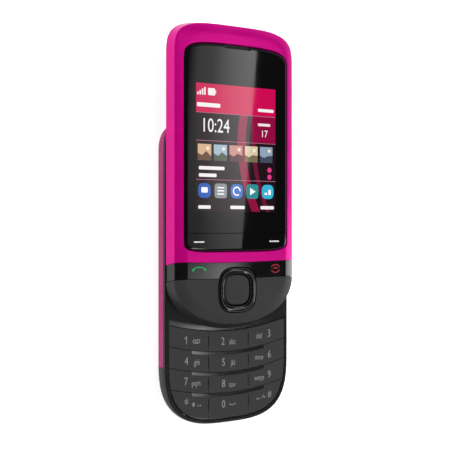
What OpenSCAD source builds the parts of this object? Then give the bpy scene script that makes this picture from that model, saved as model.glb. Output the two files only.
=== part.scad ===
// Slider phone, lying on its back with the upper half slid open.
// +Z points out of the display, +Y to the top of the phone and +X to its right.
// The origin is on the surface it lies on, at the middle of the open phone.

/* [Overall] */
// Width of the lower half, the widest part
body_w = 47.6; // [44:0.2:60]
// Length of each half, and so of the closed phone
half_l = 99.4; // [94:0.2:122]
// Thickness of the lower half
lower_t = 11.1; // [11:0.1:14]
// How far the upper half slides open
travel = 31.0; // [24:0.2:32]

/* [Shape of the halves] */
// Thickness of the upper half, measured to its flat face
upper_t = 5.2; // [5:0.1:6.5]
// How far the face falls from its flat middle to the crease
crown_h = 1.1; // [0.6:0.1:1.3]
// How far in from the sides the face starts to fall
crown_w = 5; // [4:0.1:6]
// How much narrower the upper half is, on each side
upper_step = 0.2; // [0.1:0.1:1]
// How far the sides of the upper half lean in towards the face
side_lean = 0.75; // [0.3:0.05:1.2]
// Radius of the crease round the face of the upper half
crease_r = 0.5; // [0.2:0.1:0.8]
// Depth of the rounded top ends
top_depth = 13; // [11:0.5:16]
// Depth of the rounded chin
chin_depth = 16.5; // [14:0.5:19]
// Depth of the rounded bottom end of the lower half
foot_depth = 22.5; // [18:0.5:24]
// How far the back curves in from the sides
back_curve = 7; // [6:0.5:8]
// Height of the black band between the back cover and the front
band_h = 1.1; // [0.9:0.1:1.6]

/* [Walls and clearances] */
// Wall of the back cover and of the end cap
skin = 1.0; // [0.8:0.1:1.4]
// Wall of the bezel and of the chin cover at the bottom edge
bezel_wall = 1.7; // [1.5:0.1:2.2]
// Thickness of the bezel under its face
face_t = 1.2; // [1:0.1:1.4]
// Gap between the two halves
run_gap = 0.2; // [0.15:0.05:0.4]
// Gap between neighbouring pieces
gap = 0.1; // [0.06:0.02:0.2]
// Gap round the keys and the ring
key_gap = 0.15; // [0.08:0.01:0.25]

/* [Display] */
// Width of the glass
glass_w = 39.8; // [38:0.2:41]
// Bezel above the glass
bezel_top = 7.3; // [5:0.1:8]
// Bezel below the glass
bezel_low = 3.4; // [3:0.1:5]
// Height of the selection key strip
selection_h = 6.0; // [5:0.1:8]
// Width of the lit area
screen_w = 30.6; // [28:0.2:32]
// Height of the lit area
screen_h = 40.8; // [38:0.2:42]
// Dark band between the selection keys and the lit area
screen_low = 6.9; // [5:0.1:9]
// Thickness of the display panel
panel_t = 1.5; // [1.2:0.1:1.7]
// Width of the earpiece slot
ear_slot_w = 10; // [8:0.5:14]

/* [Chin] */
// Length of the black chin, from its end to the coloured bezel
chin_l = 21.8; // [20:0.1:24]
// Length of the strip that holds the call and end keys
call_strip = 5.3; // [4.5:0.1:6.5]
// Width of the four-way ring
navi_w = 14.6; // [13:0.2:16]
// Height of the four-way ring
navi_h = 14.8; // [13:0.2:16]
// Width of the ring's own band
navi_band = 2.2; // [1.8:0.1:2.8]
// Distance of the ring's middle from the end of the chin
navi_low = 12.8; // [12:0.1:14]
// How far the ring stands above the face
navi_rise = 0.3; // [0.1:0.05:0.4]
// Travel of a key
press = 0.3; // [0.2:0.05:0.35]

/* [Keypad] */
// Width of the rim round the keypad
pad_rim = 1.15; // [0.9:0.05:1.6]
// Length of the keypad at its middle
pad_l = 30.1; // [29:0.1:34]
// Distance from one row of keys to the next
row_pitch = 6.8; // [6.4:0.1:7.6]
// How far the rows rise from the middle to the sides
row_sag = 3.4; // [2:0.1:4]
// Width of a key in the middle column
mid_key_w = 15.5; // [14:0.1:17]
// Thickness of a key
key_t = 1.25; // [1:0.05:1.4]
// Thickness of the rubber mat under the keys
mat_t = 0.35; // [0.3:0.05:0.5]

/* [Slide rails] */
// Distance between the outer faces of the shoes
slide_w = 37; // [30:0.5:38]
// Depth of the pocket that the rails lie in
pocket_t = 2.1; // [2.1:0.1:2.4]
// Length of a shoe
shoe_l = 24.5; // [20:0.5:25]
// Width of a rail's head
rail_w = 1.6; // [1.4:0.1:2]
// Thickness of a rail's head
rail_t = 0.4; // [0.3:0.05:0.5]
// Thickness of the two steel plates
plate_t = 0.4; // [0.3:0.05:0.5]
// Running clearance of a shoe on its rail
shoe_gap = 0.05; // [0.03:0.01:0.08]
// Distance from the top of the lower half to a shoe
shoe_top = 6.2; // [6:0.1:8]
// Thickness of the springs' wire
wire_d = 0.6; // [0.4:0.05:0.7]

/* [Battery and boards] */
// Width of the battery
battery_w = 34; // [30:0.5:34]
// Length of the battery
battery_l = 53; // [45:0.5:53]
// Thickness of the battery
battery_t = 4.0; // [3.6:0.1:4]
// Thickness of the main board
board_t = 0.7; // [0.5:0.1:0.8]
// Thickness of the small boards
thin_board_t = 0.5; // [0.4:0.1:0.6]
// Height of the shield cans
can_h = 1.3; // [1:0.1:1.3]

/* [Sockets] */
// Bore of the headset jack
audio_d = 3.5; // [2.5:0.1:3.6]
// Depth of the headset jack's bore
audio_depth = 13; // [10:0.5:14]
// Bore of the charger jack
charger_d = 2.0; // [1.6:0.1:2.4]
// Depth of the charger jack's bore
charger_depth = 8; // [6:0.5:9]
// Width of the data socket
usb_w = 7.5; // [7:0.1:8]
// Height of the data socket
usb_h = 2.6; // [2.2:0.1:3]
// Diameter of the camera's window
camera_d = 8; // [6:0.5:9]

/* [Hidden] */
$fn = 48;
EPS = 0.01;

// Heights, from the surface up; the closed phone is body_t thick
split_z = lower_t;
upper_z = split_z + run_gap;
face_z = upper_z + upper_t;
body_t = face_z + navi_rise;
rim_z = split_z - band_h;
cover_z = rim_z - gap;
pocket_z = split_z - pocket_t;
pocket_floor = 0.6;
board_z = pocket_z - pocket_floor - gap - can_h - board_t;
deck_t = 0.5;
deck_z = board_z - gap - deck_t;
battery_room = 0.35;
battery_z = deck_z - battery_room - battery_t;
plate_z = pocket_z + plate_t;
fine_gap = 0.05;
key_z = split_z - fine_gap - key_t;
mat_z = key_z - press - fine_gap - mat_t;
dome_h = 0.2;
pad_board_z = mat_z - gap - dome_h - thin_board_t;
rear_t = 0.7;
under_face = face_z - face_t;
shoulder_z = face_z - crown_h - 0.9;
upper_board_z = upper_z + rear_t + fine_gap;
upper_board_t = 0.6;
upper_dome_h = 0.3;
nub_z = upper_board_z + upper_board_t + upper_dome_h + fine_gap + press;
panel_z = under_face - gap - panel_t;

// Places along the phone, which is halfway open-length either side of the origin
open_l = half_l + travel;
top_y = open_l / 2;
foot_y = -open_l / 2;
lower_top = foot_y + half_l;
chin_y = top_y - half_l;
seam_y = chin_y + chin_l;
groove_y = seam_y - call_strip;
navi_y = chin_y + navi_low;
glass_top = top_y - bezel_top;
glass_low = seam_y + bezel_low;
selection_y = glass_low + selection_h;
screen_y = selection_y + screen_low;
end_cap_l = 19.3;
cover_end = foot_y + end_cap_l;
pad_y = foot_y + pad_l;
skirt_z = cover_z - 2.6;
shoe_y = lower_top - shoe_top - shoe_l;
stop_gap = 0.2;
rail_y = shoe_y - travel - stop_gap;
rail_end = shoe_y + shoe_l + stop_gap;
pocket_end = 0.3;
camera_room = 17.6;
battery_y = lower_top - camera_room - battery_l;
audio_mouth = 2.8;
jack_back = 1;
jack_wall = 1.05;
charger_mouth = 3.6;
usb_mouth = 3.5;
board_low = foot_y + audio_mouth + audio_depth + jack_back + 0.3;
board_top = lower_top - 7;

// Outlines seen from the front: half width, then the y, the depth and the
// squareness of the rounded top end and of the rounded bottom end
LOWER = [body_w / 2, lower_top, top_depth, 3.9, foot_y, foot_depth, 3.2];
UPPER = [body_w / 2 - upper_step, top_y, top_depth, 3.9, chin_y, chin_depth, 2.1];
GLASS = [glass_w / 2, glass_top, 6, 3.6, glass_low, 4.5, 5];
NAVI = [navi_w / 2, navi_y + navi_h / 2, navi_h / 2 - gap / 2, 3, navi_y - navi_h / 2,
        navi_h / 2 - gap / 2, 3];
arc_steps = 26;
seam_sag = 0.5;
groove_sag = 0.3;
seam_lean = 0.23;
chin_round = 2.2;
crown_round = 1.1;
crown_power = 1.7;
crown_steps = 5;
shoulder_in = 3;

// Places of what is fastened across the phone
slide_x = slide_w / 2;
pocket_x = slide_x + 0.5;
shoe_wall = 0.9;
rail_x = slide_x - shoe_wall;
shoe_lip = 0.4;
rail_web = 0.6;
head_z = plate_z + fine_gap + shoe_lip + 2 * shoe_gap;
fixed_pin_x = slide_x - 5;
moving_pin_x = 6;
pin_r = 0.7;
moving_pin_y = shoe_y + shoe_l / 2;
fixed_pin_y = moving_pin_y - travel / 2;
flex_w = 7;
flex_t = 0.15;
flex_room = 0.5;
flex_up_y = shoe_y + 17;
flex_slot_y = rail_y + 32.3;
flex_bend_y = rail_y + 17.3;
boss_x = body_w / 2 - 3.8;
boss_r = 1.15;
boss_hole_d = 1.3;
lower_screw_y = [rail_y + 2.3, lower_top - 14];
upper_screw_x = slide_x - 7;
upper_screw_y = [shoe_y + 2.5, shoe_y + shoe_l - 2.5];
upper_screw_d = 1.3;
screw_room = 0.1;
camera_y = lower_top - 12;
speaker_x = 10;
socket_z = rim_z * 0.54;
side_socket_x = body_w * 0.235;
call_x = 14;
select_half = navi_w / 2 - navi_band - 0.3;
selection_nub_x = 13;
nub_root = 0.3;
SIM = [-16, battery_y + 21.3, 14, 14];
CARD = [2, battery_y + 21.3, 13, 12];
reader_gap = 0.3;
contacts_x = 6;
contacts_pitch = 2.5;
plug_room = 0.3;
screen_border = 2.9;
screen_foot = 3.6;
screen_head = 3.2;
low_margin = 0.3;
tilt_gap = 0.35;
slit = 0.1;

KEY_NAMES = ["1", "2", "3", "4", "5", "6", "7", "8", "9", "star", "0", "hash"];

PINK = "#c3147c";
BLACK = "#17171a";
GREY = "#3d3d40";
STEEL = "#b9bcc0";
BOARD = "#1f5a3a";
RUBBER = "#55565a";
GOLD = "#d3ad4a";

// A power of the sine or cosine that keeps its sign
function squared(v, power) = (v < 0 ? -1 : 1) * pow(abs(v), 2 / power);

// One rounded end of an outline, from angle 0 or 180, half a turn round
function end_points(w, y, depth, power, from) =
    [for (i = [0 : arc_steps])
        let (a = from + 180 * i / arc_steps)
        [w * squared(cos(a), power), y + depth * squared(sin(a), power)]];

// An outline drawn in by inset, and by low times as much at its bottom end
function outline(o, inset = 0, low = 1) = concat(
    end_points(o[0] - inset, o[1] - o[2], o[2] - inset, o[3], 0),
    end_points(o[0] - inset, o[4] + o[5], o[5] - inset * low, o[6], 180));

function at_z(points, z) = [for (p = points) [p[0], p[1], z]];

// A y on a curve that rises from the middle of the phone to its sides
function smile(y, sag, x) = y + sag * pow(x / (body_w / 2), 2);

// How far the back is drawn in at height z, for a skin that starts at height base
function back_inset(z, base) =
    base + back_curve * (1 - sqrt(1 - pow((cover_z - z) / (cover_z - base), 2)));

// A closed solid through a list of rings with as many points each
module loft(rings) {
    n = len(rings[0]);
    last = (len(rings) - 1) * n;
    points = [for (ring = rings) each ring];
    sides = [for (base = [0 : n : last - n], i = [0 : n - 1])
        let (a = base + i, b = base + (i + 1) % n)
        each [[a, a + n, b], [b, a + n, b + n]]];
    caps = [[for (i = [0 : n - 1]) i], [for (i = [n - 1 : -1 : 0]) last + i]];
    polyhedron(points, concat(caps, sides), convexity = 8);
}

// A round tube along a list of points that stay in one level plane
module level_tube(path, d, z) {
    sides = 8;
    last = len(path) - 1;
    loft([for (i = [0 : last])
        let (before = path[max(i - 1, 0)], after = path[min(i + 1, last)],
             way = (after - before) / norm(after - before))
        [for (k = [0 : sides - 1])
            let (a = 360 * k / sides, across = d / 2 * cos(a))
            [path[i][0] - way[1] * across, path[i][1] + way[0] * across,
             z + d / 2 * sin(a)]]]);
}

module prism(points, z, top) {
    translate([0, 0, z])
        linear_extrude(top - z)
            polygon(points);
}

skirt_in = back_inset(skirt_z, skin) + 0.25;
skirt_wall = 1;
pad_inset = skirt_in + skirt_wall + 0.3;

module slab(x, y, z, size) {
    translate([x, y, z])
        cube(size);
}

// Everything on the foot side of a seam that curves with smile() and leans with depth
module below(y, sag, lean = 0) {
    far = half_l;
    xs = [for (i = [20 : -2 : -20]) i * 1.5];
    reach = 1;
    loft([for (z = [upper_z - reach, face_z + reach])
        concat([[-30, -far, z], [30, -far, z]],
               [for (x = xs) [x, smile(y, sag, x) - lean * (face_z - z), z]])]);
}

// The whole outer shape of the upper half
module upper_solid() {
    turn = 60;
    edge_z = face_z - crown_h;
    crest = side_lean + crease_r * (1 - cos(turn));
    edge = [for (a = [0 : 20 : turn])
        [side_lean + crease_r * (1 - cos(a)), edge_z - crease_r * (sin(turn) - sin(a))]];
    crown = [for (i = [1 : crown_steps])
        let (t = i / crown_steps)
        [crest + (crown_w - crest) * t, face_z - crown_h * pow(1 - t, crown_power)]];
    loft(concat([at_z(outline(UPPER), upper_z)],
                [for (e = edge) at_z(outline(UPPER, e[0], chin_round), e[1])],
                [for (c = crown)
                    let (low = chin_round * crest + crown_round * (c[0] - crest))
                    at_z(outline(UPPER, c[0], low / c[0]), c[1])]));
}

// The inside of the upper half, drawn in from its outline
module upper_inside(inset, z, top) {
    prism(outline(UPPER, inset, 2), z, top);
}

// The hollow under the face, which steps down under the sloping edge
module upper_hollow() {
    upper_inside(bezel_wall, upper_z - 1, shoulder_z);
    upper_inside(shoulder_in, upper_z - 1, under_face);
}

// The deep tub that the back cover and the end cap are cut from
module tub() {
    outer_z = [0, 0.25, 0.8, 1.8, 3.2, 5, 7.5, cover_z];
    inner_z = [cover_z, 7.5, 5, 3.2, 2.1, 1.35, skin];
    loft(concat([for (z = outer_z) at_z(outline(LOWER, back_inset(z, 0)), z)],
                [for (z = inner_z) at_z(outline(LOWER, back_inset(z, skin)), z)]));
}

module slots(x, y, w, count, pitch) {
    slot_r = 0.45;
    for (i = [0 : count - 1])
        translate([x, y + i * pitch, -1])
            linear_extrude(skin + 2)
                union() {
                    square([w, 2 * slot_r], center = true);
                    for (side = [-1, 1])
                        translate([side * w / 2, 0])
                            circle(slot_r);
                }
}

module back_cover() {
    color(PINK)
        difference() {
            tub();
            slab(-body_w, foot_y - 1, -1, [2 * body_w, cover_end - foot_y + 1, body_t]);
            translate([0, camera_y, -1])
                cylinder(h = skin + 2, d = camera_d);
            slots(-speaker_x, camera_y - 2.2, 5.4, 3, 1.7);
        }
}

module end_cap() {
    long = 12;
    color(BLACK)
        difference() {
            tub();
            slab(-body_w, cover_end - gap, -1, [2 * body_w, half_l, body_t]);
            translate([0, foot_y - 1, socket_z])
                rotate([-90, 0, 0])
                    cylinder(h = long, r = jack_r(audio_d) + plug_room);
            translate([side_socket_x, foot_y - 1, socket_z])
                rotate([-90, 0, 0])
                    cylinder(h = long, r = jack_r(charger_d) + plug_room);
            slab(-side_socket_x - usb_w / 2 - plug_room, foot_y - 1,
                 socket_z - usb_h / 2 - plug_room,
                 [usb_w + 2 * plug_room, long, usb_h + 2 * plug_room]);
        }
}

// The pocket floor and walls, the rim, the skirt and the screw bosses in one moulding
module front_housing() {
    wall = 1;
    boss_z = deck_z + deck_t + fine_gap;
    pocket_l = rail_end - rail_y + 2 * pocket_end;
    color(BLACK)
        difference() {
            union() {
                prism(outline(LOWER), rim_z, split_z);
                difference() {
                    prism(outline(LOWER, skirt_in), skirt_z, rim_z + EPS);
                    prism(outline(LOWER, skirt_in + skirt_wall), skirt_z - 1, rim_z + 1);
                }
                intersection() {
                    slab(-pocket_x - wall, rail_y - pocket_end - wall, pocket_z - pocket_floor,
                         [2 * pocket_x + 2 * wall, pocket_l + 2 * wall,
                          rim_z + EPS - pocket_z + pocket_floor]);
                    prism(outline(LOWER, skirt_in), skirt_z, rim_z + 1);
                }
                for (x = [-boss_x, boss_x], y = lower_screw_y)
                    translate([x, y, boss_z])
                        cylinder(h = rim_z + EPS - boss_z, r = boss_r);
            }
            slab(-pocket_x, rail_y - pocket_end, pocket_z, [2 * pocket_x, pocket_l, body_t]);
            flex_opening(flex_slot_y, pocket_z - body_t / 2);
            intersection() {
                prism(outline(LOWER, pad_rim), rim_z - 1, split_z + 1);
                prism(key_cell(-body_w / 2, body_w / 2, pad_y + key_gap, foot_y - pad_l),
                      rim_z - 1, split_z + 1);
            }
            for (x = [-boss_x, boss_x], y = lower_screw_y)
                translate([x, y, deck_z])
                    cylinder(h = rim_z - deck_z - 0.6, d = boss_hole_d);
        }
}

// The deck that carries the board, with walls round the battery
module chassis() {
    wall = 1;
    bay_gap = 0.3;
    overlap = 2.2;
    bay_x = battery_w / 2 + bay_gap;
    wall_z = 3;
    bay_y = battery_y - bay_gap;
    bay_l = battery_l + 2 * bay_gap;
    window = [contacts_pitch * 3 + 1.5, 3, deck_z];
    color(GREY)
        difference() {
            union() {
                intersection() {
                    prism(outline(LOWER, skin + 1.3), deck_z, deck_z + deck_t);
                    slab(-body_w, cover_end - overlap, 0, [2 * body_w, half_l, body_t]);
                }
                difference() {
                    slab(-bay_x - wall, bay_y - wall, wall_z,
                         [2 * bay_x + 2 * wall, bay_l + 2 * wall, deck_z + EPS - wall_z]);
                    slab(-bay_x, bay_y, wall_z - 1, [2 * bay_x, bay_l, deck_z]);
                    slab(contacts_x - 1, bay_y + bay_l - 1, wall_z - 1, window);
                }
            }
            reader(SIM, reader_gap, wall_z, body_t);
            reader(CARD, reader_gap, wall_z, body_t);
            slab(contacts_x - bay_gap, battery_y + battery_l + 0.1, deck_z - 1,
                 [contacts_pitch * 3 + 0.1, 2.1, body_t]);
            for (x = [-boss_x, boss_x], y = lower_screw_y)
                translate([x, y, deck_z - 1])
                    cylinder(h = deck_t + 2, d = 1.4);
        }
}

module battery() {
    corner = 1;
    color("#24262b")
        translate([-battery_w / 2, battery_y, battery_z])
            linear_extrude(battery_t)
                difference() {
                    square([battery_w, battery_l]);
                    for (x = [0, battery_w], y = [0, battery_l])
                        translate([x, y])
                            rotate(45)
                                square(corner * sqrt(2), center = true);
                }
}

module battery_contacts() {
    blade = [2, 1.4];
    reach = 2.5;
    color(GOLD)
        for (i = [0 : 2])
            slab(contacts_x + i * contacts_pitch, battery_y + battery_l + 0.35, deck_z - reach,
                 concat(blade, [board_z - fine_gap - deck_z + reach]));
}

module main_board() {
    margin = 5;
    half = body_w / 2 - margin;
    color(BOARD)
        slab(-half, board_low, board_z, [2 * half, board_top - board_low, board_t]);
}

module shield_cans() {
    z = board_z + board_t;
    y = flex_slot_y + 3;
    can_w = 12;
    middle_gap = 5;
    color(STEEL) {
        slab(-can_w - middle_gap, y, z, [can_w, board_top - 1 - y, can_h]);
        slab(middle_gap, y, z, [can_w, board_top - 6 - y, can_h]);
        slab(-can_w - middle_gap, flex_slot_y - 20, z, [can_w, 20, can_h]);
    }
}

module keypad_board() {
    color(BOARD)
        intersection() {
            prism(outline(LOWER, pad_inset), pad_board_z, pad_board_z + thin_board_t);
            slab(-body_w, foot_y, 0, [2 * body_w, pad_l + 3, body_t]);
        }
}

// Middle of the key in a column, -1 to 1, and a row, 0 to 3 from the top
function key_middle(column, row) =
    let (side = (mid_key_w / 2 + body_w / 2 - pad_rim - 1.3) / 2)
    [column * side, smile(pad_y - (row + 0.5) * row_pitch, row_sag, column * side)];

module keypad_domes() {
    color(GOLD)
        for (column = [-1 : 1], row = [0 : 3])
            translate(concat(key_middle(column, row), [pad_board_z + thin_board_t]))
                cylinder(h = dome_h, d = 4);
}

module keypad_mat() {
    color(RUBBER)
        intersection() {
            prism(outline(LOWER, pad_inset), mat_z, mat_z + mat_t);
            slab(-body_w, foot_y, 0, [2 * body_w, pad_l + 2, body_t]);
        }
}

// The area between two smile-shaped lines and two upright edges, seen from the front
function key_cell(left, right, high, low) =
    let (steps = 8, xs = [for (i = [0 : steps]) left + (right - left) * i / steps])
    concat([for (x = xs) [x, smile(low, row_sag, x)]],
           [for (i = [steps : -1 : 0]) [xs[i], smile(high, row_sag, xs[i])]]);

// One key of the keypad, by its place in KEY_NAMES
module key(index) {
    column = index % 3 - 1;
    row = floor(index / 3);
    split = mid_key_w / 2;
    left = column == -1 ? -body_w / 2 : column * split + slit / 2 - (column == 0 ? split : 0);
    right = column == 1 ? body_w / 2 : column * split - slit / 2 + (column == 0 ? split : 0);
    high = pad_y - row * row_pitch - key_gap / 2;
    low = row == 3 ? foot_y - pad_l : pad_y - (row + 1) * row_pitch + key_gap / 2;
    color(GREY)
        intersection() {
            prism(outline(LOWER, pad_rim + key_gap), key_z, key_z + key_t);
            prism(key_cell(left, right, high, low), key_z - 1, key_z + key_t + 1);
        }
}

// The fixed plate: two rails with heads that point outwards, stops at both ends, and
// the pins of the springs
module rail_plate() {
    long = rail_end - rail_y;
    pin_h = 1.1;
    half = pocket_x - pocket_end;
    color(STEEL)
        difference() {
            union() {
                slab(-half, rail_y, pocket_z, [2 * half, long, plate_t]);
                for (side = [0, 1])
                    mirror([side, 0, 0]) {
                        slab(rail_x - rail_w, rail_y, plate_z - EPS,
                             [rail_web, long, head_z - plate_z + 2 * EPS]);
                        slab(rail_x - rail_w, rail_y, head_z, [rail_w, long, rail_t]);
                        translate([fixed_pin_x, fixed_pin_y, plate_z - EPS])
                            cylinder(h = pin_h, r = pin_r);
                    }
            }
            flex_opening(flex_slot_y, pocket_z - 1);
        }
}

// The moving plate under the upper half, with the springs' other pins
module slider_plate() {
    pin_h = 1.1;
    color(STEEL)
        difference() {
            union() {
                slab(-slide_x, shoe_y, upper_z - plate_t, [slide_w, shoe_l, plate_t]);
                for (x = [-moving_pin_x, moving_pin_x])
                    translate([x, moving_pin_y, upper_z - plate_t - pin_h])
                        cylinder(h = pin_h + EPS, r = pin_r);
            }
            flex_opening(flex_up_y, upper_z - 1);
            upper_screw_holes();
        }
}

// A slot for the ribbon through whatever lies above z
module flex_opening(y, z) {
    slab(-flex_w / 2 - flex_room, y - flex_t / 2 - flex_room, z,
         [flex_w + 2 * flex_room, flex_t + 2 * flex_room, body_t]);
}

module upper_screw_holes() {
    for (x = [-upper_screw_x, upper_screw_x], y = upper_screw_y)
        translate([x, y, upper_z - 1])
            cylinder(h = upper_t, d = upper_screw_d + 2 * screw_room);
}

// Two channels that wrap the heads of the rails
module slide_shoes() {
    top = upper_z - plate_t;
    base = plate_z + fine_gap;
    head_top = head_z + rail_t;
    inner_x = rail_x + shoe_gap;
    lip_x = rail_x - rail_w + rail_web + shoe_gap;
    color("#dedcd2")
        for (side = [0, 1])
            mirror([side, 0, 0])
                difference() {
                    slab(rail_x - rail_w, shoe_y, base,
                         [slide_x - rail_x + rail_w, shoe_l, top - base]);
                    slab(rail_x - rail_w - 1, shoe_y - 1, head_z - shoe_gap,
                         [inner_x - rail_x + rail_w + 1, shoe_l + 2, rail_t + 2 * shoe_gap]);
                    slab(rail_x - rail_w - 1, shoe_y - 1, base - 1,
                         [lip_x - rail_x + rail_w + 1, shoe_l + 2, head_top - base + 1]);
                }
}

// Two zigzag wire springs, each from a fixed pin to a moving one
module slide_springs() {
    waves = 1.5;
    swing = 2.2;
    reach = pin_r + wire_d / 2 + fine_gap;
    from = [fixed_pin_x, fixed_pin_y];
    to = [moving_pin_x, moving_pin_y];
    way = (to - from) / norm(to - from);
    long = norm(to - from) - 2 * reach;
    steps = 36;
    path = [for (i = [0 : steps])
        let (t = i / steps, off = swing * sin(360 * waves * t) * sin(180 * t))
        from + way * (reach + long * t) + off * [-way[1], way[0]]];
    color("#8f9396")
        for (side = [0, 1])
            mirror([side, 0, 0])
                level_tube(path, wire_d, (plate_z + upper_z - plate_t) / 2);
}

// The ribbon that joins the boards: a flat loop inside the pocket, drawn from its side
module flex_cable() {
    low_z = plate_z + 0.15;
    high_z = upper_z - plate_t - 0.2;
    top_z = upper_board_z - fine_gap;
    end_z = board_z + board_t + fine_gap;
    up_y = flex_up_y;
    bend_y = flex_bend_y;
    bend_r = (high_z - low_z) / 2;
    turn = [for (a = [90 : 20 : 270])
        [bend_y + bend_r * cos(a), (high_z + low_z) / 2 + bend_r * sin(a)]];
    inner_r = bend_r - flex_t;
    turn_in = [for (a = [270 : -20 : 90])
        [bend_y + inner_r * cos(a), (high_z + low_z) / 2 + inner_r * sin(a)]];
    side = concat([[up_y - flex_t, top_z], [up_y - flex_t, high_z]], turn,
                  [[flex_slot_y - flex_t, low_z], [flex_slot_y - flex_t, end_z],
                   [flex_slot_y, end_z], [flex_slot_y, low_z + flex_t]], turn_in,
                  [[up_y, high_z - flex_t], [up_y, top_z]]);
    color("#b86a2c")
        translate([-flex_w / 2, 0, 0])
            rotate([90, 0, 90])
                linear_extrude(flex_w)
                    polygon(side);
}

module loudspeaker() {
    size = [9, 7];
    z = 2.5;
    color(BLACK)
        slab(-speaker_x - size[0] / 2, camera_y - 3.4, z, concat(size, [deck_z - low_margin - z]));
}

module vibration_motor() {
    z = 3.2;
    color(STEEL)
        translate([speaker_x + 1, camera_y + 1.9, z])
            cylinder(h = deck_z - low_margin - z, r = 4);
}

module microphone() {
    high = 1.2;
    color(STEEL)
        translate([5.5, foot_y + 6, pad_board_z - fine_gap - high])
            cylinder(h = high, r = 2);
}

module camera_module() {
    size = 8.4;
    lens_t = 0.6;
    color(BLACK)
        slab(-size / 2, camera_y - size / 2, skin + gap + lens_t,
             [size, size, deck_z - skin - 2 * gap - lens_t]);
}

module camera_lens() {
    color("#28303c")
        translate([0, camera_y, skin + gap])
            cylinder(h = 0.55, d = camera_d - 2);
}

// A card reader's box, from [x, y, width, length], grown all round by extra
module reader(box, extra, z, top) {
    slab(box[0] - extra, box[1] - extra, z,
         [box[2] + 2 * extra, box[3] + 2 * extra, top - z]);
}

module sim_reader() {
    color(STEEL)
        reader(SIM, 0, battery_z + battery_t + 0.15, board_z - fine_gap);
}

module card_reader() {
    color(STEEL)
        reader(CARD, 0, battery_z + battery_t + 0.15, board_z - fine_gap);
}

// Outer radius of a round socket with a bore of diameter d
function jack_r(d) = d / 2 + jack_wall;

// A round socket whose mouth looks out of the foot of the phone
module jack(x, mouth_y, d, depth) {
    translate([x, mouth_y, socket_z])
        rotate([-90, 0, 0])
            difference() {
                cylinder(h = depth + jack_back, r = jack_r(d));
                translate([0, 0, -1])
                    cylinder(h = depth + 1, d = d);
            }
}

module audio_jack() {
    color("#2c2c30")
        jack(0, foot_y + audio_mouth, audio_d, audio_depth);
}

module charger_jack() {
    color("#2c2c30")
        jack(side_socket_x, foot_y + charger_mouth, charger_d, charger_depth);
}

module usb_socket() {
    shell = 0.4;
    tongue = 0.7;
    long = 5.6;
    mouth = foot_y + usb_mouth;
    color(STEEL)
        difference() {
            slab(-side_socket_x - usb_w / 2, mouth, socket_z - usb_h / 2, [usb_w, long, usb_h]);
            difference() {
                slab(-side_socket_x - usb_w / 2 + shell, mouth - 1, socket_z - usb_h / 2 + shell,
                     [usb_w - 2 * shell, long, usb_h - 2 * shell]);
                slab(-side_socket_x - usb_w / 4, mouth + 0.8, socket_z - tongue / 2,
                     [usb_w / 2, long, tongue]);
            }
        }
}

module antenna() {
    size = [30, 7];
    z = 2.8;
    color("#d8d3c4")
        slab(-size[0] / 2, battery_y - 1.9 - size[1], z, concat(size, [deck_z - low_margin - z]));
}

module screw(head_r, head_h, shank_d, shank_l) {
    slot = 0.35;
    difference() {
        cylinder(h = head_h, r = head_r);
        for (a = [0, 90])
            rotate(a)
                slab(-head_r * 0.7, -slot / 2, -head_h / 2, [head_r * 1.4, slot, head_h]);
    }
    translate([0, 0, head_h - EPS])
        cylinder(h = shank_l, d = shank_d);
}

module lower_screws() {
    head_h = 0.6;
    color(STEEL)
        for (x = [-boss_x, boss_x], y = lower_screw_y)
            translate([x, y, deck_z - head_h])
                screw(1.05, head_h, 1.2, rim_z - deck_z - 1);
}

module upper_screws() {
    head_h = 0.3;
    color(STEEL)
        for (x = [-upper_screw_x, upper_screw_x], y = upper_screw_y)
            translate([x, y, upper_z - plate_t - head_h])
                screw(1.2, head_h, upper_screw_d, plate_t + rear_t - gap);
}

module front_bezel() {
    color(PINK)
        difference() {
            upper_solid();
            below(seam_y, seam_sag, seam_lean);
            upper_hollow();
            prism(outline(GLASS), under_face - 1, face_z + 1);
        }
}

module display_window() {
    color("#0b0b0d")
        difference() {
            intersection() {
                prism(outline(GLASS, gap), under_face, body_t);
                upper_solid();
            }
            slab(-body_w, glass_low - 5, 0, [2 * body_w, selection_y - glass_low + 5 + gap, 30]);
            slab(-ear_slot_w / 2, glass_top - 1.3, 0, [ear_slot_w, 5, 30]);
        }
}

module earpiece_mesh() {
    side = 0.15;
    color("#202022")
        slab(-ear_slot_w / 2 + side, glass_top - 1.15, under_face,
             [ear_slot_w - 2 * side, 0.95, face_t - 0.3]);
}

// The outside of the display panel, grown all round by extra
module panel_box(extra, z, top) {
    slab(-screen_w / 2 - screen_border - extra, screen_y - screen_foot - extra, z,
         [screen_w + 2 * (screen_border + extra),
          screen_h + screen_foot + screen_head + 2 * extra, top - z]);
}

module display_panel() {
    color("#161619")
        panel_box(0, panel_z, panel_z + panel_t);
}

// The frame that holds the panel, with the rib that the selection bar rocks on
module display_frame() {
    half = glass_w / 2 + 0.3;
    low = selection_y + 0.3;
    high = screen_y + screen_h + screen_head + 2.3;
    z = upper_board_z + upper_board_t + fine_gap;
    top = under_face - fine_gap;
    rib_low = glass_low + 0.8;
    color("#2a2a2d")
        difference() {
            union() {
                slab(-half, low, z, [2 * half, high - low, top - z]);
                slab(-0.5, rib_low, z, [1, low - rib_low + 0.1, top - z]);
            }
            panel_box(gap, z - 1, body_t);
        }
}

module rear_housing() {
    inset = bezel_wall + gap;
    wall = 0.8;
    color(BLACK)
        difference() {
            union() {
                upper_inside(inset, upper_z, upper_z + rear_t);
                difference() {
                    upper_inside(inset, upper_z + rear_t - EPS, shoulder_z - press - 0.2);
                    upper_inside(inset + wall, upper_z, face_z);
                }
            }
            flex_opening(flex_up_y, upper_z - 1);
            upper_screw_holes();
        }
}

module navi_hole() {
    prism(outline(NAVI, -key_gap), upper_z, face_z + 1);
}

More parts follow.
